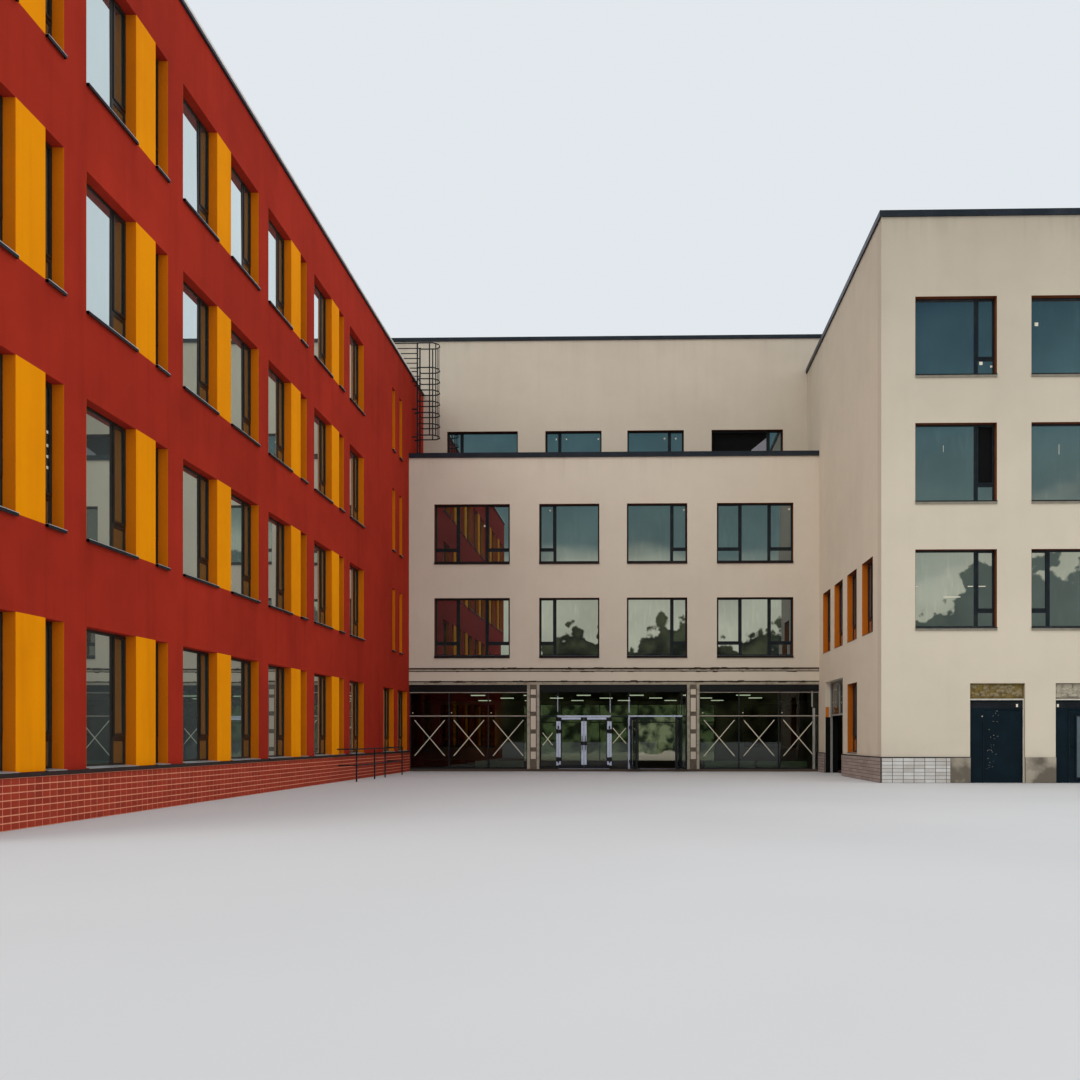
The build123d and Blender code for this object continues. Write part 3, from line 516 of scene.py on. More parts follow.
# %% Slabs, sheets and plates
BOX_SIDES = np.array([[0, 2, 3, 1], [4, 5, 7, 6], [0, 1, 5, 4], [2, 6, 7, 3], [0, 4, 6, 2], [1, 3, 7, 5]])
PLATE_SIDES = np.array([[0, 3, 2, 1], [4, 5, 6, 7], [0, 1, 5, 4], [1, 2, 6, 5], [2, 3, 7, 6], [3, 0, 4, 7]])


def repeated(points, quads):
    """One shape per row of points (count, corners, 3), all with the same quads, as one shape."""
    count, corners = points.shape[:2]
    faces = np.asarray(quads)[None] + corners * np.arange(count)[:, None, None]
    return points.reshape(-1, 3), faces.reshape(-1, 4)


def slabs(lows, highs):
    """Cuboids between low and high corners: the 8 corners are every mix of the two."""
    low = np.asarray(lows, float)[:, None, :]
    high = np.asarray(highs, float)[:, None, :]
    picks = np.array([[i & 1, i >> 1 & 1, i >> 2 & 1] for i in range(8)])
    return repeated(low + picks * (high - low), BOX_SIDES)


def sheets(rows, back, front):
    """Slabs (left, low, right, high) that reach from back to front."""
    rows = np.asarray(rows, float)
    ones = np.ones(len(rows))
    return slabs(np.column_stack([rows[:, :2], ones * back]), np.column_stack([rows[:, 2:], ones * front]))


def boxed(centres, half):
    """Rows (left, low, right, high) that reach half a size to each side of their centres."""
    centres = np.asarray(centres, float)
    return np.hstack([centres - half, centres + half])


def plates(flat, back, front):
    """Plates of any four corners (count, 4, 2) that reach from back to front."""
    flat = np.asarray(flat, float)
    layers = []
    for depth in (back, front):
        depth = np.broadcast_to(np.reshape(depth, (-1, 1, 1)), (len(flat), 4, 1))
        layers.append(np.dstack([flat, depth]))
    return repeated(np.concatenate(layers, axis=1), PLATE_SIDES)


print(len(slabs([(0, 0, 0)], [(1, 1, 1)])[1]), "quads to a slab")

# %% [markdown]
# A section is drawn once as an outline. A ring carries it round a rectangle with mitred corners, as
# for a window frame, and a strip carries it straight along the wall, as for a sill.


# %% Rings and strips
def net(rows, columns, used):
    """Quads between points laid out row by row. Both ways close up in a ring, and only the quads
    of the first used rows are kept."""
    row, column = np.indices((used, columns))
    ahead = (row + 1) % rows
    after = (column + 1) % columns
    corners = ((row, column), (row, after), (ahead, after), (ahead, column))
    return np.stack([a * columns + b for a, b in corners], -1).reshape(-1, 4)


def rings(rects, profile):
    """Mitred rings: profile rows (inset, stand-out) are carried round each (left, low, right, high)."""
    rects = np.asarray(rects, float)
    profile = np.asarray(profile, float)
    corners = rects[:, [[0, 1], [2, 1], [2, 3], [0, 3]]]
    inward = np.array([[1, 1], [-1, 1], [-1, -1], [1, -1]])
    flat = corners[:, :, None, :] + inward[None, :, None, :] * profile[None, None, :, :1]
    depth = np.broadcast_to(profile[None, None, :, 1:2], (*flat.shape[:3], 1))
    points = np.concatenate([flat, depth], axis=3)
    return repeated(points.reshape(len(rects), -1, 3), net(4, len(profile), 4)[:, [0, 3, 2, 1]])


def strips(spans, profile):
    """Bars along the wall: profile rows (height, stand-out) are carried from start to end.
    Each span is (start, end, height); the ends are closed by fans of quads."""
    spans = np.asarray(spans, float)
    profile = np.asarray(profile, float)
    count = len(profile)
    along = np.repeat(spans[:, :2, None], count, axis=2)
    height = np.broadcast_to(spans[:, None, 2:3] + profile[None, None, :, 0], along.shape)
    depth = np.broadcast_to(profile[None, None, :, 1], along.shape)
    points = np.stack([along, height, depth], -1)
    edge = np.arange(count)
    after = (edge + 1) % count
    sides = np.stack([edge, after, count + after, count + edge], -1)
    fan = np.arange(1, count - 1, 2)
    far = np.minimum(fan + 2, count - 1)
    start_caps = np.stack([0 * fan, far, fan + 1, fan], -1)
    end_caps = np.stack([0 * fan + count, count + fan, count + fan + 1, count + far], -1)
    return repeated(points.reshape(len(spans), -1, 3), np.concatenate([sides, start_caps, end_caps]))


def joined(*shapes):
    """Several shapes as one."""
    starts = np.cumsum([0] + [len(points) for points, _ in shapes])
    faces = [quads + start for (_, quads), start in zip(shapes, starts)]
    return np.concatenate([points for points, _ in shapes]), np.concatenate(faces)


print(len(net(4, 6, 4)), "quads to a ring with a section of six corners")

# %% [markdown]
# Where the windows are doesn't need saying twice: each window of the frame is one solid, so the box
# of each loose solid in a node is one opening.


# %% Openings read from the frame
def solid_boxes(name):
    """Low and high corner of each loose solid of a node, from left to right: equal corners share a
    label, and each triangle hands the lowest label on until nothing changes."""
    mesh = nodes[name].data
    points = np.array([vertex.co[:] for vertex in mesh.vertices])
    mesh.calc_loop_triangles()
    triangles = np.array([triangle.vertices[:] for triangle in mesh.loop_triangles])
    label = np.unique(np.round(points, 5), axis=0, return_inverse=True)[1].reshape(-1)
    corners = label[triangles]
    lowest = np.arange(label.max() + 1)
    before = None
    while not np.array_equal(lowest, before):
        before = lowest.copy()
        least = lowest[corners].min(axis=1)
        for column in range(3):
            np.minimum.at(lowest, corners[:, column], least)
    owner = lowest[label]
    solids = [points[owner == one] for one in np.unique(owner)]
    boxes = [(solid.min(axis=0), solid.max(axis=0)) for solid in solids]
    return sorted(boxes, key=lambda box: tuple(box[0]))


def openings(wall, node):
    """(left, low, right, high) of each window of a node on a wall."""
    rows = []
    for low, high in solid_boxes(node):
        left, right = sorted(((low - wall.at) @ wall.along, (high - wall.at) @ wall.along))
        rows.append((left, low[2], right, high[2]))
    return sorted(rows)


window_nodes = {
    "red_court": (red_court, "red_courtyard_windows"),
    "red_end": (red_end, "red_end_windows"),
    "red_outer": (left_side, "left_side_windows"),
    "main_left": (left_side, "left_side_windows"),
    "right_front": (right_front, "right_front_windows"),
    "right_court": (right_court, "right_courtyard_windows"),
    "right_side": (right_side, "right_side_windows"),
    "hall": (hall_front, "hall_windows"),
    "main_top": (main_front, "main_front_windows"),
    "main_back": (back_side, "main_back_windows"),
}
windows = {group: openings(wall, node) for group, (wall, node) in window_nodes.items()}
windows["red_outer"] = [row for row in windows["red_outer"] if row[0] < MAIN_Y]
windows["main_left"] = [row for row in windows["main_left"] if row[0] > MAIN_Y]
print({group: len(rows) for group, rows in windows.items()})

# %% [markdown]
# A window here is a dark frame with one fixed pane and one narrow sash that opens, split low down by
# a rail. The widest ones have a sash on each side. The sections of frame, sash and bead are drawn
# once as outlines and carried round every opening, as a joiner would run them off.

# %% How each window is divided
FRAME_BAR = 0.030
RAIL_UP = 0.265
CASEMENT = {1.575: 0.490, 1.250: 0.320, 0.900: 0.250, 0.850: 0.260, 0.800: 0.260}
FRONT_CASEMENT = 0.290
WIDEST = 1.5
LEAST_SASH, MOST_SASH = 0.26, 0.5
FRONT_LEFT_HUNG = (6.0, 7.0, 3.0)
BROKEN_FROM, BROKEN_WIDE = 2.5, 0.6
OPEN_SASH = (5.6, 6.1, 4.5, 4.8)
OPEN_SASH_TALL = 0.5


def division(group, row):
    """Parts of a window as (left, right, opens), from its width and its place."""
    left, low, right, high = row
    width = round(right - left, 3)
    if width not in CASEMENT:
        return [(left, right, LEAST_SASH < width < MOST_SASH)]
    sash = CASEMENT[width]
    left_hung = False
    if group == "right_front":
        sash = FRONT_CASEMENT
        start, end, under = FRONT_LEFT_HUNG
        left_hung = start < left < end and low < under
    if group == "main_top":
        sash = CASEMENT[1.250]
    elif width > WIDEST:
        return [(left, left + sash, True), (left + sash, right - sash, False), (right - sash, right, True)]
    if group in ("hall", "main_top"):
        left_hung = (left + right) / 2 < 0
    if left_hung:
        return [(left, left + sash, True), (left + sash, right, False)]
    return [(left, right - sash, False), (right - sash, right, True)]


def is_void(group, rect):
    """Panes that show black, filled by a sheet of painted shade: a broken one on the top floor and a sash
    that stands open.
    """
    left, low, right, high = rect
    middle = (left + right) / 2
    if group == "main_top":
        return middle > BROKEN_FROM and right - left > BROKEN_WIDE
    start, end, lowest, highest = OPEN_SASH
    tall = high - low > OPEN_SASH_TALL
    return group == "right_front" and start < middle < end and lowest < low < highest and tall


print(division("hall", windows["hall"][0]))

# %% [markdown]
# Frame, sash and bead lie at their own depths behind the wall's face. Where a pane shows black there is no
# glass, only a dark sheet that lies deeper: painted shade for the dark room behind.

# %% Frames, sashes and panes
FRAME_PROFILE = [
    (0, -0.140), (0, -0.100), (0.022, -0.100), (0.026, -0.103), (0.026, -0.111), (0.030, -0.113),
    (0.030, -0.140),
]
SASH_PROFILE = [
    (0.010, -0.134), (0.010, -0.096), (0.014, -0.093), (0.034, -0.093), (0.040, -0.100), (0.040, -0.134),
]
BEAD_PROFILE = [(0.012, -0.130), (0.012, -0.1035), (0.026, -0.1035), (0.032, -0.106), (0.032, -0.130)]
PANE_BACK, PANE_FRONT = -0.116, -0.110
VOID_BACK, VOID_FRONT = -0.132, -0.128
POST_BACK, POST_FRONT = -0.140, -0.102
RAIL_BACK, RAIL_FRONT = -0.138, -0.103
POST_SHORT = 0.01
PANE_INSET = np.array([0.020, 0.020, -0.020, -0.020])
PANE_LEAN, LEAN_LIMIT = 0.0022, 0.003
generator = np.random.default_rng(7)


def leaning_panes(rects):
    """Panes, each leaning by two small random slopes: depth changes by slope times offset."""
    points, _ = sheets(rects, PANE_BACK, PANE_FRONT)
    lean = generator.normal(0, PANE_LEAN, (len(rects), 2))
    points = points.reshape(-1, 8, 3)
    middle = (points.max(axis=1) + points.min(axis=1)) / 2
    offset = points - middle[:, None, :]
    tilt = offset[:, :, 0] * lean[:, None, 0] + offset[:, :, 1] * lean[:, None, 1]
    points[:, :, 2] += np.clip(tilt, -LEAN_LIMIT, LEAN_LIMIT)
    return points


def dress_windows(group, wall, rows):
    """Frames, sashes, rails and panes of one wall; the frames are returned."""
    sashes, beads, posts, rails, panes, opening = [], [], [], [], [], []
    for left, low, right, high in rows:
        for start, end, opens in division(group, (left, low, right, high)):
            if start > left:
                edge = start - FRAME_BAR / 2
                posts.append((edge, low + POST_SHORT, edge + FRAME_BAR, high - POST_SHORT))
            lights = [(start, low, end, high)]
            if opens:
                rail = low + RAIL_UP
                rails.append((start, rail - FRAME_BAR / 2, end, rail + FRAME_BAR / 2))
                lights = [(start, low, end, rail), (start, rail, end, high)]
                sashes.append(lights[1])
            beads.append(lights[0])
            panes += lights
            opening += [opens] * len(lights)
    shapes = [rings(rows, FRAME_PROFILE)]
    if posts:
        shapes.append(sheets(posts, POST_BACK, POST_FRONT))
    if rails:
        shapes += [sheets(rails, RAIL_BACK, RAIL_FRONT), rings(sashes, SASH_PROFILE)]
    shapes.append(rings(beads, BEAD_PROFILE))

    def add(part, shape, finish):
        """One part of these windows."""
        return piece(f"{group}_{part}", wall, shape, finish)

    red = group.startswith("red")
    frames = add("frames", joined(*shapes), "frame_warm" if red else "frame_metal")
    rects = np.array(panes) + PANE_INSET
    void = np.array([is_void(group, rect) for rect in panes])
    opening = np.array(opening)[~void]
    # Behind a pane that shows black, a sheet of painted shade stands for the dark room.
    if void.any():
        add("shade_sheets", sheets(rects[void], VOID_BACK, VOID_FRONT), "painted_shade_black")
    glass = leaning_panes(rects[~void])
    if not red:
        add("glass", repeated(glass, BOX_SIDES), "glass_dark")
        return frames
    add("glass", repeated(glass[~opening], BOX_SIDES), "glass_wing")
    # The sash panes get the darker glass: painted shade in what they mirror.
    if opening.any():
        add("sash_glass_shaded", repeated(glass[opening], BOX_SIDES), "glass_sash_shaded")
    return frames


for group, (wall, node) in window_nodes.items():
    frames = dress_windows(group, wall, windows[group])
    if group != "main_left":
        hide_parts(node)
    print(group, len(windows[group]), "openings dressed")

# %% [markdown]
# Sills are bent sheet: they slope out, turn down past the wall face and shed the rain. The red wing's
# reveals are painted orange, and its window heads dark red, on a thin coat of render. On the cream walls the
# orange linings are darkened to brown with painted shade, and the heads are darker still because they face
# down.

# %% Sills and reveals
SILL_BACK = [(-0.002, -0.100), (0.012, -0.100)]
LONG_SILL = SILL_BACK + [(0.002, 0.026), (-0.026, 0.028), (-0.026, 0.023), (-0.004, 0.020)]
SHORT_SILL = SILL_BACK + [(0.002, 0.026), (-0.013, 0.028), (-0.013, 0.023), (-0.004, 0.020)]
FLUSH_SILL = SILL_BACK + [(0.002, 0.003), (-0.004, 0.004), (-0.004, 0.001), (-0.003, 0.000)]
# Thin strips over the sill tops carry their painted highlight.
HIGHLIGHT_BACK = [(0.0118, -0.099), (0.0134, -0.099)]
FLAT_HIGHLIGHT = HIGHLIGHT_BACK + [(0.0060, -0.002), (0.0045, -0.002)]
LIPPED_HIGHLIGHT = HIGHLIGHT_BACK + [(0.0040, 0.028), (-0.0010, 0.0292), (-0.0010, 0.0258), (0.0020, 0.0258)]
SILL_FOOT = [(-0.046, -0.002), (-0.012, -0.002), (-0.012, 0.021), (-0.046, 0.019)]
SILL_GAP = 0.001
COAT = 0.003
REVEAL_BACK, REVEAL_FACE = -0.100, -0.0005


def dress_sills(group, wall, spans):
    """Sills with a painted highlight along their tops. On the cream fronts there is a foot of render under
    them: pale grey lightened with painted light against the shade under the lip, and dark on the hall and
    the top floor as painted shade under the sill.
    """
    section, top = SHORT_SILL, FLAT_HIGHLIGHT
    if group.startswith("red"):
        section, top = LONG_SILL, LIPPED_HIGHLIGHT
    if group == "right_court":
        section = FLUSH_SILL
    parts = [("sills", section, "sill_metal"), ("sill_highlights", top, "sill_highlight")]
    # The pale foot is lightened with painted light against the lip's shade. On the hall and the top floor
    # the foot is dark, painted shade under the sill.
    if section is SHORT_SILL:
        dark = group in ("hall", "main_top")
        parts.append(("sill_feet", SILL_FOOT, "flashing_dark_and_sill_shade" if dark else "sill_foot_lightened"))
    for part, profile, finish in parts:
        piece(f"{group}_{part}", wall, strips(spans, profile), finish)


def dress_reveals(group, wall, rows):
    """Thin linings on both sides and the head of every opening. On the cream walls the heads are a dark
    brown, painted shade on their undersides. The sides are a brown of painted shade, except on the courtyard
    wall, whose sides keep their orange.
    """
    side_finish, head_finish, head_slot = "reveal_shaded_brown", "head_shaded_brown", "pier_render"
    if group.startswith("red"):
        side_finish, head_finish, head_slot = "reveal_orange", "red_render", "red_render"
    if group == "right_court":
        side_finish = "reveal_side"
    left, low, right, high = np.array(rows).T
    near = np.column_stack([left, low, left + COAT, high])
    far = np.column_stack([right - COAT, low, right, high])
    sides = sheets(np.vstack([near, far]), REVEAL_BACK, REVEAL_FACE)
    piece(f"{group}_reveals", wall, sides, side_finish)
    heads = sheets(np.column_stack([left, high - COAT, right, high]), REVEAL_BACK, REVEAL_FACE)
    piece(f"{group}_heads", wall, heads, head_finish)


for group, (wall, _) in window_nodes.items():
    spans = [(left + SILL_GAP, right - SILL_GAP, low) for left, low, right, _ in windows[group]]
    dress_sills(group, wall, spans)
    dress_reveals(group, wall, windows[group])
print("sills and reveals on", len(window_nodes), "walls")

# %% [markdown]
# The plinths are laid tile by tile, and rows and columns are one array of corners. The red clinker
# and the pale tiles stand in a plain grid; the long tiles by the courtyard shift by half a tile.

# %% Tile fields
PLINTH_OUT = 0.020
BEDDED = 0.0005
UNEVEN = 0.0012
LEAST_TILE = (0.01, 0.008)


def tile_field(name, wall, left, right, top, tile, joint, proud, shift, finish, slot):
    """Tiles from left to right up to top: corners from a row and a column number, cut at the ends."""
    width, height = tile
    upright, level = joint
    row_count = int(math.ceil(top / height - 0.01))
    column_count = int(math.ceil((right - left) / width)) + 1
    row, column = np.meshgrid(np.arange(row_count), np.arange(column_count), indexing="ij")
    start = left + (column - (row % 2) * shift) * width + upright / 2
    end = np.clip(start + width - upright, left, right)
    start = np.clip(start, left, right)
    low = row * height + level / 2
    high = np.minimum(low + height - level, top)
    good = (end - start > LEAST_TILE[0]) & (high - low > LEAST_TILE[1])
    jitter = generator.uniform(0.0, UNEVEN, start.shape)
    corners = np.stack([start, low, end, high], -1)[good]
    back = PLINTH_OUT - BEDDED
    piece(name, wall, sheets(corners, back, back + proud + jitter[good]), finish)
    print(name, len(corners), "tiles")


head_boards = solid_boxes("door_head_boards")
SERVICE_X = [low[0] for low, _ in head_boards]
SERVICE_END = [high[0] for _, high in head_boards]
DOOR_START, DOOR_END = [corner[1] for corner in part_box("side_door_transom")]
BACK_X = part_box("back_entrance_glazing")[1][0]
RED_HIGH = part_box("red_plinth")[1][2]
CREAM_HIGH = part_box("cream_plinth")[1][2]
BARE_FROM = COURT_X + 1.05
red_kind = ((0.105, 0.056), (0.0085, 0.0095), 0.002, 0.0, "clinker", "clinker")
pale_kind = ((0.165, 0.055), (0.009, 0.0065), 0.004, 0.0, "pale_tile", "pale_tile")
side_kind = ((0.34, 0.055), (0.004, 0.007), 0.004, 0.5, "side_tile", "pale_tile")
for name, wall, left, right, kind in (
    ("red_court_tiles", red_court, RED_FRONT, HALL_Y, red_kind),
    ("red_end_tiles", red_end, -OUTER_X, -COURT_X, red_kind),
    ("red_outer_tiles", left_side, RED_FRONT, MAIN_Y, red_kind),
    ("front_tiles", right_front, COURT_X, BARE_FROM, pale_kind),
    ("front_end_tiles", right_front, SERVICE_END[1], OUTER_X, pale_kind),
    ("court_tiles", right_court, RIGHT_Y, DOOR_START, side_kind),
    ("court_far_tiles", right_court, DOOR_END, HALL_Y, side_kind),
    ("right_tiles", right_side, RIGHT_Y, BACK_Y, pale_kind),
    ("left_tiles", left_side, MAIN_Y, BACK_Y, pale_kind),
    ("back_left_tiles", back_side, -OUTER_X, -BACK_X, pale_kind),
    ("back_right_tiles", back_side, BACK_X, OUTER_X, pale_kind),
):
    tile_field(name, wall, left, right, RED_HIGH if kind is red_kind else CREAM_HIGH, *kind)

# %% [markdown]
# Over the plinth runs a thin dark flashing, bent sheet on the cream walls and a flat band on the
# red ones.

# %% Flashings
FLASHING = [(-0.004, 0.0), (0.006, 0.0), (0.002, 0.026), (-0.006, 0.028), (-0.006, 0.024), (-0.001, 0.022)]
for name, wall, spans in (
    ("front_flashing", right_front, [(COURT_X, SERVICE_X[0] - 0.002), (SERVICE_END[1], OUTER_X)]),
    ("court_flashing", right_court, [(RIGHT_Y, DOOR_START - 0.002), (DOOR_END + 0.002, HALL_Y)]),
    ("right_flashing", right_side, [(RIGHT_Y, BACK_Y)]),
):
    bent = strips([(start, end, CREAM_HIGH) for start, end in spans], FLASHING)
    piece(name, wall, bent, "frame_metal")
for name, wall, start, end in (
    ("red_court_flashing", red_court, RED_FRONT, HALL_Y),
    ("red_end_flashing", red_end, -OUTER_X, -COURT_X),
    ("red_outer_flashing", left_side, RED_FRONT, MAIN_Y),
):
    band = sheets([(start, RED_HIGH - 0.024, end, RED_HIGH + 0.0115)], PLINTH_OUT - BEDDED, 0.031)
    piece(name, wall, band, "flashing_dark_and_sill_shade")
print("flashings on six walls")

# %% [markdown]
# Two rough channels cross the hall's front where something was fixed before, and the wall shows darker in
# them. Thin dark lines along their edges are painted shade. Their ragged rims are crumbs, plates whose
# corners are moved by chance, dark with painted shade too.

# %% Channels across the hall's front
CRUMBS = 110
CRUMB_HEIGHTS = [2.146, 2.116, 2.067, 1.873, 1.850]
# The dark lines along the channels' edges are painted shade.
for name, spans, front, finish in (
    ("groove_lines", ((2.116, 2.148), (2.066, 2.082), (1.850, 1.874)), 0.0012, "groove_shade"),
    ("groove_bands", ((2.082, 2.116), (1.802, 1.850)), 0.0008, "channel_render"),
):
    rows = [(-COURT_X, low, COURT_X, high) for low, high in spans]
    piece(name, hall_front, sheets(rows, -0.001, front), finish)
crumb_x = generator.uniform(-COURT_X + 0.1, COURT_X - 0.1, CRUMBS)
centre = np.column_stack([crumb_x, generator.choice(CRUMB_HEIGHTS, CRUMBS)])
half_wide = generator.uniform(0.01, 0.09, CRUMBS)
half_size = np.column_stack([half_wide, generator.uniform(0.004, 0.011, CRUMBS)])
crumbs = sheets(boxed(centre, half_size), -0.001, 0.004)
ragged = generator.uniform(-1, 1, (CRUMBS, 4, 2)) * (half_size * (0.45, 0.5))[:, None, :]
crumbs[0].reshape(-1, 8, 3)[:, :, :2] += np.concatenate([ragged, ragged], axis=1)
# The crumbs are dark too: painted shade along the ragged rims.
piece("groove_crumbs", hall_front, crumbs, "groove_shade")
bare_spans = ((BARE_FROM + 0.005, SERVICE_X[0]), (SERVICE_END[0], SERVICE_X[1]))
bare_rows = [(start, 0.0, end, CREAM_HIGH) for start, end in bare_spans]
piece("bare_plinth", right_front, sheets(bare_rows, PLINTH_OUT - BEDDED, 0.0235), "stained")
print(CRUMBS, "crumbs along the channels")

# %% [markdown]
# Small marks tell a lived-in building: a shard left in the broken pane of the top floor, stickers and tape
# on the panes, and a pale strip of painted highlight along the top edge of the red wing's coping.

# %% Small marks
GLASS_FACE = PANE_FRONT + 0.0005


def along(row, share):
    """The place that lies a share of the way from a window's left to its right."""
    return row[0] + (row[2] - row[0]) * share


top_rows = windows["main_top"]
SHARD = ((0.30, 6.315), (0.80, 6.315), (0.80, 7.375), (0.57, 7.09))
shard = plates([[(along(top_rows[3], share), z) for share, z in SHARD]], -0.126, -0.122)
piece("shard", main_front, shard, "shard_glass")
first = windows["right_front"][0]
lamp_spans = ((0.37, 0.58, 2.873), (0.67, 0.735, 3.036), (0.80, 0.89, 3.036), (0.03, 0.06, 3.036))
lamp_marks = [(along(first, a), z, along(first, b), z + 0.014) for a, b, z in lamp_spans]
top_marks = ((1, 0.19), (1, 0.37), (1, 0.94), (2, 0.66), (2, 0.86))
top_places = [(along(top_rows[window], share), top_rows[window][3] - 0.155) for window, share in top_marks]
pane_marks = {
    "front_stickers": (right_front, [
        (6.635, 7.07, 6.69, 7.125), (5.785, 6.475, 5.835, 6.525), (5.95, 6.435, 5.985, 6.465),
        (5.229, 5.13, 5.234, 5.23), (7.006, 5.08, 7.012, 5.24),
    ]),
    "room_lamps": (right_front, lamp_marks),
    "hall_stickers": (hall_front, [
        (-1.33, 5.42, -1.30, 5.45), (1.455, 5.42, 1.485, 5.45), (3.63, 5.42, 3.67, 5.46),
        (-2.70, 5.10, -2.66, 5.14),
    ]),
    "top_stickers": (main_front, boxed(top_places, (0.015, 0.018))),
    "wing_stickers": (red_court, [(-9.968, z, -9.942, z + 0.024) for z in (3.18, 3.07, 2.98, 2.89)]),
}
for name, (wall, rows) in pane_marks.items():
    piece(name, wall, sheets(rows, GLASS_FACE, GLASS_FACE + 0.001), "tape_white")
cap_low, cap_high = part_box("red_coping")
# A pale strip over the coping's top edge: the sky's shine on its metal, as a painted highlight.
highlight_rows = [(cap_low[1], cap_high[2] - 0.020, cap_high[1], cap_high[2] + 0.012)]
piece("coping_highlight", red_court, sheets(highlight_rows, 0.0, 0.034), "coping_highlight")
print(sum(len(rows) for _, rows in pane_marks.values()), "marks on panes")

# %% [markdown]
# The entrance is a glass wall in thin dark bars under a black band. Its panes are clear, marked with
# crosses of tape, and the first pair of doors still wears its film. The bars are given as places on
# the hall's front, in the same three numbers as the windows.

# %% Entrance: bars, panes and tape
glazing_low, glazing_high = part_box("entrance_top_light")
GLASS_OUT = HALL_Y - glazing_low[1]
TRANSOM = glazing_low[2]
BAY, _, TOP = glazing_high
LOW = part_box("entrance_side_lights")[0][2]
BAR = 0.030
THIN_BAR = 0.024
BAR_DEEP = 0.05
PANE_THICK = 0.006
wide_boxes = map(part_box, ("entrance_glazing_left", "entrance_glazing_right"))
wide_bays = [(low[0], high[0]) for low, high in wide_boxes]
side_lights = [(low[0], high[0]) for low, high in solid_boxes("entrance_side_lights")]
(_, left_light), (middle_start, middle_end), (right_light, _) = side_lights


def bars(rows, depth=BAR_DEEP, face=GLASS_OUT):
    """Bars (left, low, right, high) with their front at face and going depth inwards."""
    return sheets(rows, face - depth, face)


def crossed(rects, width, face):
    """Two tape strips from corner to corner of each rectangle, one lying over the other."""
    rects = np.asarray(rects, float)
    starts = np.concatenate([rects[:, [0, 1]], rects[:, [0, 3]]])
    ends = np.concatenate([rects[:, [2, 3]], rects[:, [2, 1]]])
    run = (ends - starts) / np.linalg.norm(ends - starts, axis=1, keepdims=True)
    side = np.column_stack([-run[:, 1], run[:, 0]]) * width / 2
    flat = np.stack([starts - side, ends - side, ends + side, starts + side], axis=1)
    front = face + np.repeat([0.0, 0.0006], len(rects))
    return plates(flat, front - 0.0005, front)


bar_rows = []
pane_rows = []
cross_rows = []
for left, right in wide_bays:
    edges = np.linspace(left, right, 4)
    fields = list(pairwise(edges))
    bar_rows += [(left, low, right, low + BAR) for low in (LOW, TRANSOM)] + [(left, TOP - 0.02, right, TOP)]
    bar_rows += [(x - THIN_BAR / 2, LOW, x + THIN_BAR / 2, TOP) for x in edges[1:-1]]
    bar_rows += [(left, LOW, left + 0.02, TOP), (right - 0.02, LOW, right, TOP)]
    pane_rows += [(a + 0.01, LOW + 0.02, b - 0.01, TRANSOM + 0.01) for a, b in fields]
    pane_rows += [(a + 0.01, TRANSOM + 0.02, b - 0.01, TOP - 0.01) for a, b in fields]
    cross_rows += [(a + 0.10, 0.32, b - 0.09, 1.065) for a, b in fields]
bar_rows += [(-BAY, TRANSOM, BAY, TRANSOM + BAR), (-BAY, TOP - 0.02, BAY, TOP)]
bar_rows += [(a, LOW, a + BAR, TRANSOM) for a, _ in side_lights]
bar_rows += [(b - BAR, LOW, b, TRANSOM) for _, b in side_lights]
bar_rows += [(a, LOW, b, LOW + BAR) for a, b in side_lights]
uprights = [-BAY + THIN_BAR / 2, left_light - BAR / 2, middle_start + BAR / 2, middle_end - BAR / 2]
uprights += [right_light + BAR / 2, BAY - THIN_BAR / 2]
bar_rows += [(x - THIN_BAR / 2, TRANSOM + BAR, x + THIN_BAR / 2, TOP) for x in uprights]
pane_rows += [(a + 0.02, TRANSOM + 0.02, b - 0.02, TOP - 0.01) for a, b in pairwise(uprights)]
pane_rows += [(a + 0.02, LOW + 0.02, b - 0.02, TRANSOM + 0.01) for a, b in side_lights]
cross_rows.append((side_lights[0][0] + 0.06, 0.54, side_lights[0][0] + 0.27, 0.80))
cross_rows.append((middle_start + 0.07, 0.58, middle_end - 0.08, 0.90))
frame_bars = piece("entrance_bars", hall_front, bars(bar_rows), "frame_metal")
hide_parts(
    "entrance_glazing_left", "entrance_glazing_right",
    "entrance_top_light", "entrance_side_lights",
)
clear_panes = bars(pane_rows, PANE_THICK, GLASS_OUT - 0.03)
piece("entrance_panes", hall_front, clear_panes, "glass_clear")
tape_strips = crossed(cross_rows, 0.016, GLASS_OUT - 0.0285)
piece("tape_crosses", hall_front, tape_strips, "tape_white")
print(len(bar_rows), "bars,", len(pane_rows), "panes,", len(cross_rows), "crosses")

# %% [markdown]
# The fixed frames round the doors still wear pale film, held by dabs of black tape. The ledges over the side
# bays catch the light, so they are pieces of their own with a painted highlight.

# %% Entrance: bright ledges, film and tape on the fixed frames
A_START, A_END = left_light - BAR, middle_start + BAR
B_START, B_END = middle_end - BAR, right_light + BAR
film_rows = [
    (A_START - 0.014, LOW, A_START + BAR, TRANSOM), (A_END - BAR, LOW, A_END + 0.014, TRANSOM),
    (A_START, TRANSOM - 0.004, A_END, TRANSOM + 0.014), (A_START, TRANSOM + 0.017, A_END, TRANSOM + 0.034),
    (B_START - 0.004, LOW, B_START + BAR, TRANSOM), (B_START, TRANSOM + 0.006, B_END, TRANSOM + 0.034),
    (A_START, LOW - 0.004, A_END, LOW + 0.006), (B_START, LOW - 0.004, B_END, LOW + 0.004),
    (A_START + 0.008, 1.24, A_START + 0.020, 1.56), (A_END - 0.020, 1.22, A_END - 0.008, 1.50),
    (B_START + 0.008, 1.22, B_START + 0.022, 1.54),
]
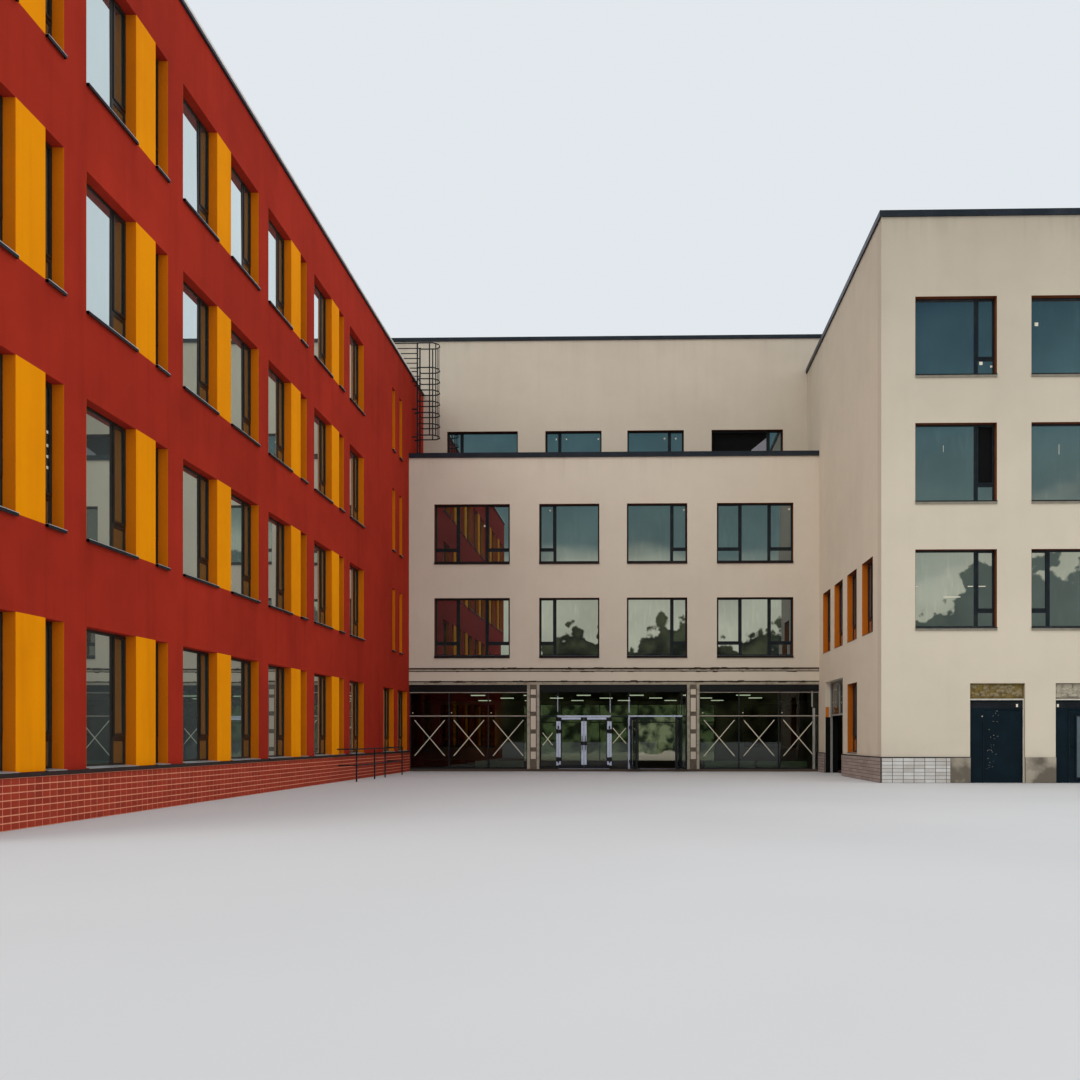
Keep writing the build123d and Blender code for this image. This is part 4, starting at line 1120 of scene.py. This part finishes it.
ledge_rows = [(left, TRANSOM + BAR - 0.014, right, TRANSOM + BAR + 0.001) for left, right in wide_bays]
ledge_rows += [(left, TOP - 0.032, right, TOP - 0.019) for left, right in wide_bays]
dots = [(x, z) for x in (A_START + 0.004, A_END - 0.004) for z in (0.075, 0.25, 0.83, 1.085)]
dot_rows = boxed(dots, (0.026, 0.046)).clip((-BAY, LOW, -BAY, LOW))
foot_rows = [
    (-4.24, 0.0, -4.065, 0.022), (-2.76, 0.0, -2.45, 0.022), (-2.35, 0.01, -1.80, 0.024),
    (1.82, 0.01, 2.30, 0.022),
]
spot_rows = boxed([(x, 1.2165) for x in (-4.188, -3.377, -2.546, 1.86, 2.69, 3.50)], 0.011)
end_rows = [(4.125, 0.05, 4.175, 1.31), (4.100, 1.335, 4.130, 1.79)]
for name, rows, depth, face, finish, slot in (
    ("bright_ledges", ledge_rows, 0.04, 0.006, "ledge_highlight", "entrance_glazing"),
    ("frame_film", film_rows, 0.006, 0.004, "film_pale", "entrance_glazing"),
    ("frame_tape", dot_rows, 0.004, 0.0055, "tape_black", "dark_steel"),
    ("foot_plates", foot_rows, 0.03, 0.035, "foam_white", "pale_tile"),
    ("pane_spots", spot_rows, 0.002, -0.0275, "tape_white", "pale_tile"),
    ("hall_end_frame", end_rows, 0.02, 0.012, "grey_frame", "entrance_glazing"),
):
    piece(name, hall_front, bars(rows, depth, GLASS_OUT + face), finish)
    print(name, len(rows))

# %% [markdown]
# Each leaf is built on a wall of its own that starts at the hinge and runs along the leaf, turned as
# far as the leaf stands open. The first pair is still wrapped in film and held with black tape.

# %% Entrance: the four leaves
LEAF_LOW, LEAF_HIGH = [corner[2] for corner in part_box("entrance_leaf_a_left")]
LEAF_START, LEAF_END = 0.012, 0.5365
LEAF_PROFILE = [
    (0, -0.040), (0, -0.012), (0.004, -0.010), (0.050, -0.010), (0.060, -0.018), (0.060, -0.034),
    (0.052, -0.040),
]
GRIP = LEAF_END - 0.030
LEAF_MIDDLE = (LEAF_LOW + LEAF_HIGH) / 2
KNUCKLES = [(LEAF_LOW + 0.12, LEAF_LOW + 0.18), (LEAF_HIGH - 0.24, LEAF_HIGH - 0.18)]


def dress_leaf(name, hand, opened, wrapped):
    """Frame, pane, pull and film of one leaf, riding on the leaf's body."""
    joint = next(one for one in frame["record"]["behaviour"]["joints"] if one["child"] == name)
    turn = -hand * math.radians(opened)
    reach = (hand * math.cos(turn), hand * math.sin(turn), 0)
    wall = Wall(reach, (math.sin(turn), -math.cos(turn), 0), (*joint["pos_m"][:2], 0))

    def add(part, shape, finish, slot):
        """One part that turns with the leaf."""
        return piece(f"{name}_{part}", wall, shape, finish, name)

    leaf_frame = rings([(LEAF_START, LEAF_LOW, LEAF_END, LEAF_HIGH)], LEAF_PROFILE)
    made = add("frame", leaf_frame, "frame_metal", "entrance_glazing")
    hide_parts(name)
    inner = [(0.050, LEAF_LOW + 0.045, LEAF_END - 0.048, LEAF_HIGH - 0.045)]
    add("pane", bars(inner, PANE_THICK, -0.024), "glass_clear", "entrance_glazing")
    pull = boxed([(GRIP, LEAF_MIDDLE)], (0.006, 0.15))
    stubs = boxed([(GRIP, LEAF_MIDDLE - 0.13), (GRIP, LEAF_MIDDLE + 0.13)], 0.004)
    add("pull", joined(bars(pull, 0.012, 0.032), bars(stubs, 0.031, 0.021)), "dark_steel", "dark_steel")
    barrels = sheets([(-0.008, low, 0.0115, high) for low, high in KNUCKLES], -0.008, 0.008)
    tongues = sheets([(0.0095, low, 0.026, high) for low, high in KNUCKLES], -0.012, -0.006)
    add("knuckles", joined(barrels, tongues), "frame_metal", "dark_steel")
    if not wrapped:
        return
    film = [
        (0.014, LEAF_LOW, 0.056, LEAF_HIGH), (LEAF_END - 0.052, LEAF_LOW, LEAF_END - 0.001, LEAF_HIGH),
        (0.05, LEAF_HIGH - 0.045, LEAF_END - 0.05, LEAF_HIGH - 0.004),
    ]
    add("film", bars(film, 0.003, -0.0075), "film_pale", "entrance_glazing")
    places = [(LEAF_END - 0.032, z) for z in (LEAF_LOW + 0.04, 0.58, LEAF_HIGH - 0.04)]
    places += [(0.044, z) for z in (LEAF_LOW + 0.04, 0.25, 0.83, LEAF_HIGH - 0.04)]
    add("tape", bars(boxed(places, (0.030, 0.040)), 0.002, -0.0055), "tape_black", "dark_steel")


for name, hand, opened, wrapped in (
    ("entrance_leaf_a_left", 1, 0, True),
    ("entrance_leaf_a_right", -1, 0, True),
    ("entrance_leaf_b_left", 1, 76, False),
    ("entrance_leaf_b_right", -1, 78, False),
):
    dress_leaf(name, hand, opened, wrapped)
    print(name, "stands open by", opened)

# %% [markdown]
# Behind the glass: strip lamps under the hall's dark ceiling, and convector boxes on the floor. The
# brick piers beside the doors stand half finished, with pads of render between bands of mortar.

# %% Hall: lamps, convectors, back entrance and piers
CEILING = 1.75
lamp_x, lamp_y = np.meshgrid(np.linspace(-3.4, 3.1, 6), np.array([7.3, 9.1, 10.9]), indexing="ij")
lamp_x = lamp_x + np.array([0.0, 0.50, -0.35])
lamp_tops = np.column_stack([lamp_x.ravel(), np.full(lamp_x.size, CEILING), -lamp_y.ravel()])
lamps = slabs(lamp_tops - (0.17, 0.022, 0.05), lamp_tops + (0.17, -0.002, 0.05))
piece("strip_lamps", looks_south(0), lamps, "lamp_white")
boxes = [(-2.892, -2.61), (-2.588, -1.872), (1.902, 2.945), (3.01, 3.423), (3.488, 4.031)]
box_rows = [(left, 0.063, right, 0.216) for left, right in boxes]
convectors = bars(box_rows, 0.06, GLASS_OUT - 0.10)
piece("convectors", hall_front, convectors, "convector_paint")

BACK_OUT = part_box("back_entrance_glazing")[1][1] - BACK_Y
fifths = np.linspace(-BACK_X, BACK_X, 6)
back_bars = [(-BACK_X, z, BACK_X, z + BAR) for z in (0.0, TRANSOM, TOP - BAR)]
back_bars += [(-BACK_X, 0.0, -BACK_X + BAR, TOP)]
back_bars += [(x - BAR / 2, 0.0, x + BAR / 2, TOP) for x in fifths[1:-1]]
back_bars += [(BACK_X - BAR, 0.0, BACK_X, TOP)]
bare_bars = bars(back_bars, BAR_DEEP, BACK_OUT)
back_frame = piece("back_bars", back_side, bare_bars, "bare_aluminium")
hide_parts("back_entrance_glazing")
back_panes = [(a + 0.01, 0.02, b - 0.01, TRANSOM + 0.01) for a, b in pairwise(fifths)]
back_panes += [(a + 0.01, TRANSOM + 0.02, b - 0.01, TOP - 0.02) for a, b in pairwise(fifths)]
back_glass = bars(back_panes, PANE_THICK, BACK_OUT - 0.02)
piece("back_panes", back_side, back_glass, "glass_back")

PAD_HALF = 0.052
PAD_SPANS = ((0.257, 0.409), (0.498, 0.782), (0.871, 1.148), (1.239, 1.521), (1.590, 1.700))
pads = []
pier_edges = []
for low, high in solid_boxes("entrance_pilasters"):
    left, right = low[0], high[0]
    middle = (left + right) / 2
    pier_edges += [(left, LOW, left + 0.055, 1.8), (right - 0.055, LOW, right, 1.8)]
    pads += [(middle - PAD_HALF, foot, middle + PAD_HALF, head) for foot, head in PAD_SPANS]
piece("pier_edges", hall_front, bars(pier_edges, 0.02, 0.012), "bare_block")
piece("pier_pads", hall_front, bars(pads, 0.02, 0.008), "cream_hall")
print(len(lamp_tops), "lamps and", len(pads), "pads")

# %% [markdown]
# The two service doors were set into holes that nobody finished: bare insulation and block show over
# their frames, with blobs of mortar.


# %% Mortar blobs
AROUND, LEVELS = 12, 4


def blobs(count, left, right, low, high, face, size):
    """Flattened domes of mortar: rings of points whose radius and stand-out follow a quarter circle."""
    around = np.linspace(0, 2 * np.pi, AROUND, endpoint=False)
    up = np.linspace(0, np.pi / 2, LEVELS)
    centre = np.column_stack([generator.uniform(left, right, count), generator.uniform(low, high, count)])
    radius = generator.uniform(0.5, 1.0, count) * size
    wobble = 1 + 0.25 * generator.standard_normal((count, AROUND)).clip(-1, 1)
    reach = radius[:, None, None] * np.cos(up)[None, :, None] * wobble[:, None, :]
    points = np.stack([
        centre[:, 0, None, None] + reach * np.cos(around),
        centre[:, 1, None, None] + reach * np.sin(around) * 0.8,
        face + 0.5 * radius[:, None, None] * np.sin(up)[None, :, None] + 0 * reach,
    ], -1).clip((left, low, face), (right, high, face + 1))
    return repeated(points.reshape(count, -1, 3), net(LEVELS, AROUND, LEVELS - 1))


HEAD_LOW, HEAD_HIGH = [corner[2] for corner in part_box("door_head_boards")]
BOARD_FACE = RIGHT_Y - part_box("door_head_boards")[0][1]
board_rows = [(SERVICE_X[0] + 0.004, HEAD_LOW + 0.03, SERVICE_END[0] - 0.004, HEAD_HIGH - 0.004)]
bare_board = sheets(board_rows, BOARD_FACE - 0.001, BOARD_FACE + 0.006)
piece("bare_board_1", right_front, bare_board, "bare_board")
thirds = np.linspace(SERVICE_X[1] + 0.004, SERVICE_END[1] - 0.004, 4)
block_rows = [(a + 0.004, HEAD_LOW + 0.035, b - 0.004, HEAD_HIGH - 0.01) for a, b in pairwise(thirds)]
bare_blocks = sheets(block_rows, BOARD_FACE - 0.001, BOARD_FACE + 0.008)
piece("bare_blocks_2", right_front, bare_blocks, "bare_block")
for name, left, right, finish in (
    ("mortar_1", SERVICE_X[0], SERVICE_END[0], "foam_ochre"),
    ("mortar_2", SERVICE_X[1], SERVICE_END[1], "bare_block"),
):
    dabs = blobs(46, left + 0.03, right - 0.03, HEAD_LOW + 0.05, HEAD_HIGH - 0.02, BOARD_FACE + 0.003, 0.050)
    piece(name, right_front, dabs, finish).data.shade_smooth()
print("holes over the service doors from", HEAD_LOW, "to", HEAD_HIGH)

# %% [markdown]
# The doors are plain steel leaves. What makes them look used is small: foam along the frame, a dark
# light over each leaf, stickers, a pale panel with its rim, and specks of paint.

# %% Service doors
DOOR_FACE = RIGHT_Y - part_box("service_door_frames")[0][1]
STICKER_LOW, STICKER_HIGH = 1.17, 1.215
foam_rows = [
    (SERVICE_X[0], HEAD_LOW - 0.004, SERVICE_END[0] - 0.02, HEAD_LOW + 0.020),
    (SERVICE_END[0] - 0.020, 0.0, SERVICE_END[0] - 0.006, HEAD_LOW + 0.020),
    (SERVICE_X[1], HEAD_LOW - 0.004, SERVICE_END[1], HEAD_LOW + 0.018),
]
sticker_rows = [
    (SERVICE_END[0] - 0.125, STICKER_LOW, SERVICE_END[0] - 0.095, STICKER_HIGH),
    (SERVICE_X[1] + 0.035, STICKER_LOW, SERVICE_X[1] + 0.065, STICKER_HIGH),
    (SERVICE_X[0] + 0.19, 1.02, SERVICE_X[0] + 0.205, 1.035),
]
light_rows = [(start + 0.03, 1.152, end - 0.03, 1.252) for start, end in zip(SERVICE_X, SERVICE_END)]
seam_rows = [(start + 0.218, 0.01, start + 0.2245, 1.12) for start in SERVICE_X]
for name, rows, back, front, finish, slot in (
    ("foam_strips", foam_rows, -0.01, 0.008, "foam_white", "insulation"),
    ("door_lights", light_rows, -0.026, -0.018, "dark_pane", "entrance_glazing"),
    ("door_stickers", sticker_rows, -0.002, 0.0012, "tape_white", "pale_tile"),
    ("fixed_leaf_edges", seam_rows, -0.004, 0.004, "frame_metal", "door_steel"),
):
    piece(name, right_front, sheets(rows, DOOR_FACE + back, DOOR_FACE + front), finish)
leaf_low, leaf_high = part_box("service_door_2")
panel = [(leaf_low[0] + 0.10, 0.08, leaf_high[0] - 0.12, 1.03)]
leaf_panel = sheets(panel, DOOR_FACE - 0.001, DOOR_FACE + 0.002)
piece("leaf_panel", right_front, leaf_panel, "panel_grey", "service_door_2")
RIM_PROFILE = [(-0.012, -0.001), (-0.012, 0.006), (0.004, 0.006), (0.008, 0.002), (0.008, -0.001)]
rim = rings(panel, np.array(RIM_PROFILE) + (0, DOOR_FACE))
piece("leaf_panel_rim", right_front, rim, "frame_metal", "service_door_2")
SPECKS = 30
down = generator.uniform(0.0, 1.0, SPECKS)
specks = np.column_stack([SERVICE_X[0] + 0.40 - 0.10 * down, 1.10 - 0.95 * down])
specks = specks + generator.normal(0, 0.035, (SPECKS, 2))
specks = specks.clip((SERVICE_X[0] + 0.24, 0.05), (SERVICE_END[0] - 0.04, 1.11))
grit = generator.uniform(0.0012, 0.0030, (SPECKS, 1))
splashes = sheets(boxed(specks, grit), DOOR_FACE - 0.002, DOOR_FACE + 0.0135)
piece("door_specks", right_front, splashes, "tape_white", "service_door_1")
print("service doors with", SPECKS, "specks of paint")

# %% [markdown]
# The side doorway has no leaf. Its bare frame holds two dark panes, and its far jamb is lined with black
# sheets of painted shade, with a scrap of the orange and cream board at the top.

# %% Side doorway
FLECKS = 18
door_middle = DOOR_START + (DOOR_END - DOOR_START) / 2
halves = ((DOOR_START + 0.03, door_middle - 0.015), (door_middle + 0.015, DOOR_END - 0.03))
side_panes = sheets([(left, 1.157, right, 1.77) for left, right in halves], -0.128, -0.122)
piece("side_panes", right_court, side_panes, "dark_pane")
dust_y = generator.uniform(DOOR_START + 0.05, DOOR_END - 0.05, FLECKS)
dust = np.column_stack([dust_y, generator.uniform(1.17, 1.75, FLECKS)])
fleck = generator.uniform(0.006, 0.016, (FLECKS, 1))
flecks = sheets(boxed(dust, fleck), -0.1225, -0.1212)
piece("side_pane_flecks", right_court, flecks, "tape_white")
jamb = looks_south(DOOR_END)
# Black sheets on the far jamb: painted shade in the doorway.
jamb_shade_rows = [(0.003, 0.0, 0.098, 1.11), (0.142, 0.0, 0.249, 1.31)]
for name, rows, front, finish, slot in (
    ("jamb_lining", jamb_shade_rows, 0.004, "painted_shade_black", "dark_steel"),
    ("jamb_orange", [(0.003, 1.11, 0.070, 1.31)], 0.005, "orange_strip", "pier_render"),
    ("jamb_cream", [(0.070, 1.11, 0.098, 1.31)], 0.005, "foam_white", "pale_tile"),
):
    piece(name, jamb, sheets(np.array(rows) + (COURT_X, 0, COURT_X, 0), 0.0005, front), finish)
print("side doorway from", DOOR_START, "to", DOOR_END)

# %% [markdown]
# The studio: a pale floor, a pale sky that also shows in the glass, and one broad soft lamp from the
# front left, as on a bright overcast day.


# %% Floor, sky and lamp
def studio_floor(half=150.0, drop=0.002):
    """A square of floor with a faint cloud of tone, a hair below the building's foot."""
    inputs, place = shader("floor", 0.9)
    cloud = noise(place, 0.2, 3.0).ramp(0.3, 0.7)
    feed(inputs["Base Color"], mix(cloud, paint(214, 214, 212), paint(206, 206, 204)))
    mesh = bpy.data.meshes.new("floor")
    corners = [(-half, -half, 0), (half, -half, 0), (half, half, 0), (-half, half, 0)]
    mesh.from_pydata(corners, [], [(0, 1, 2, 3)])
    mesh.materials.append(finishes["floor"])
    floor = bpy.data.objects.new("floor", mesh)
    floor.location = (0, 0, -drop)
    bpy.context.scene.collection.objects.link(floor)


SKY_STOPS = [
    (0.00, (0.80, 0.84, 0.66)), (0.12, (1.42, 1.24, 0.94)), (0.150, (1.28, 1.13, 0.88)),
    (0.19, (0.30, 0.39, 0.37)), (0.29, (0.18, 0.32, 0.36)), (0.40, (0.04, 0.12, 0.18)),
]
LEAF_DARK, LEAF_LIT = (0.02, 0.02, 0.008, 1.0), (0.15, 0.15, 0.07, 1.0)
HAZY_WOOD = (0.30, 0.32, 0.27, 1.0)
SKY_AHEAD = (0.96, 0.99, 1.08, 1.0)


def mirrored_sky(tree):
    """What the glass mirrors: trees, bright low sky and blue-grey cloud behind the viewer, pale sky
    the other way. The colour follows how steeply the ray climbs."""
    place = new_value(tree, "TexCoord", "Generated")
    climb = axis(place, "Z") + (noise(place, 3.5, 5.0, (1, 1, 2.5)) - 0.5) * 0.20
    bands = tree.nodes.new("ShaderNodeValToRGB")
    while len(bands.color_ramp.elements) < len(SKY_STOPS):
        bands.color_ramp.elements.new(0.5)
    for element, (position, colour) in zip(bands.color_ramp.elements, SKY_STOPS):
        element.position = position
        element.color = (*colour, 1.0)
    feed(bands.inputs[0], climb)
    leaves = noise(place, 64.0, 9.0)
    hazy = axis(place, "X").ramp(0.12, 0.36)
    treetop = noise(place, 8.0, 3.0, (1, 1, 0.5)) * 0.22 + leaves * 0.085 - 0.058 + hazy * 0.093
    wooded = (treetop - axis(place, "Z")).ramp(0.0, 0.004)
    wood = mix(hazy, mix(leaves.ramp(0.42, 0.62), LEAF_DARK, LEAF_LIT), HAZY_WOOD)
    behind = mix(wooded, Value(tree, bands.outputs[0]), wood)
    return mix(axis(place, "Y").ramp(-0.15, 0.15), behind, SKY_AHEAD)


def sky():
    """Light from all round, a near white sky for the camera, and clouds for what mirrors."""
    world = bpy.data.worlds.new("sky")
    world.use_nodes = True
    bpy.context.scene.world = world
    tree = world.node_tree
    tree.nodes["Background"].inputs["Color"].default_value = paint(236, 240, 246)
    tree.nodes["Background"].inputs["Strength"].default_value = 1.15
    shown = Value(tree, tree.nodes["Background"].outputs[0])
    seen = new_value(tree, "Background", 0, Color=paint(226, 232, 237))
    mirrored = new_value(tree, "Background", 0, Color=mirrored_sky(tree))
    rays = [new_value(tree, "LightPath", f"Is {kind} Ray") for kind in ("Camera", "Transmission", "Glossy")]
    for factor, other in (((rays[0] + rays[1]).clamped(), seen), (rays[2], mirrored)):
        node = tree.nodes.new("ShaderNodeMixShader")
        for socket, value in zip(node.inputs, (factor, shown, other)):
            feed(socket, value)
        shown = Value(tree, node.outputs[0])
    feed(tree.nodes["World Output"].inputs["Surface"], shown)


def soft_sun():
    """One broad lamp, high, from behind the camera's left shoulder."""
    data = bpy.data.lights.new("soft_sun", "SUN")
    data.energy = 0.6
    data.angle = math.radians(35)
    data.color = (1.0, 0.97, 0.92)
    lamp = bpy.data.objects.new("soft_sun", data)
    lamp.rotation_euler = (math.radians(50), 0, math.radians(-45))
    bpy.context.scene.collection.objects.link(lamp)


studio_floor()
sky()
soft_sun()
print("floor, sky and one lamp")
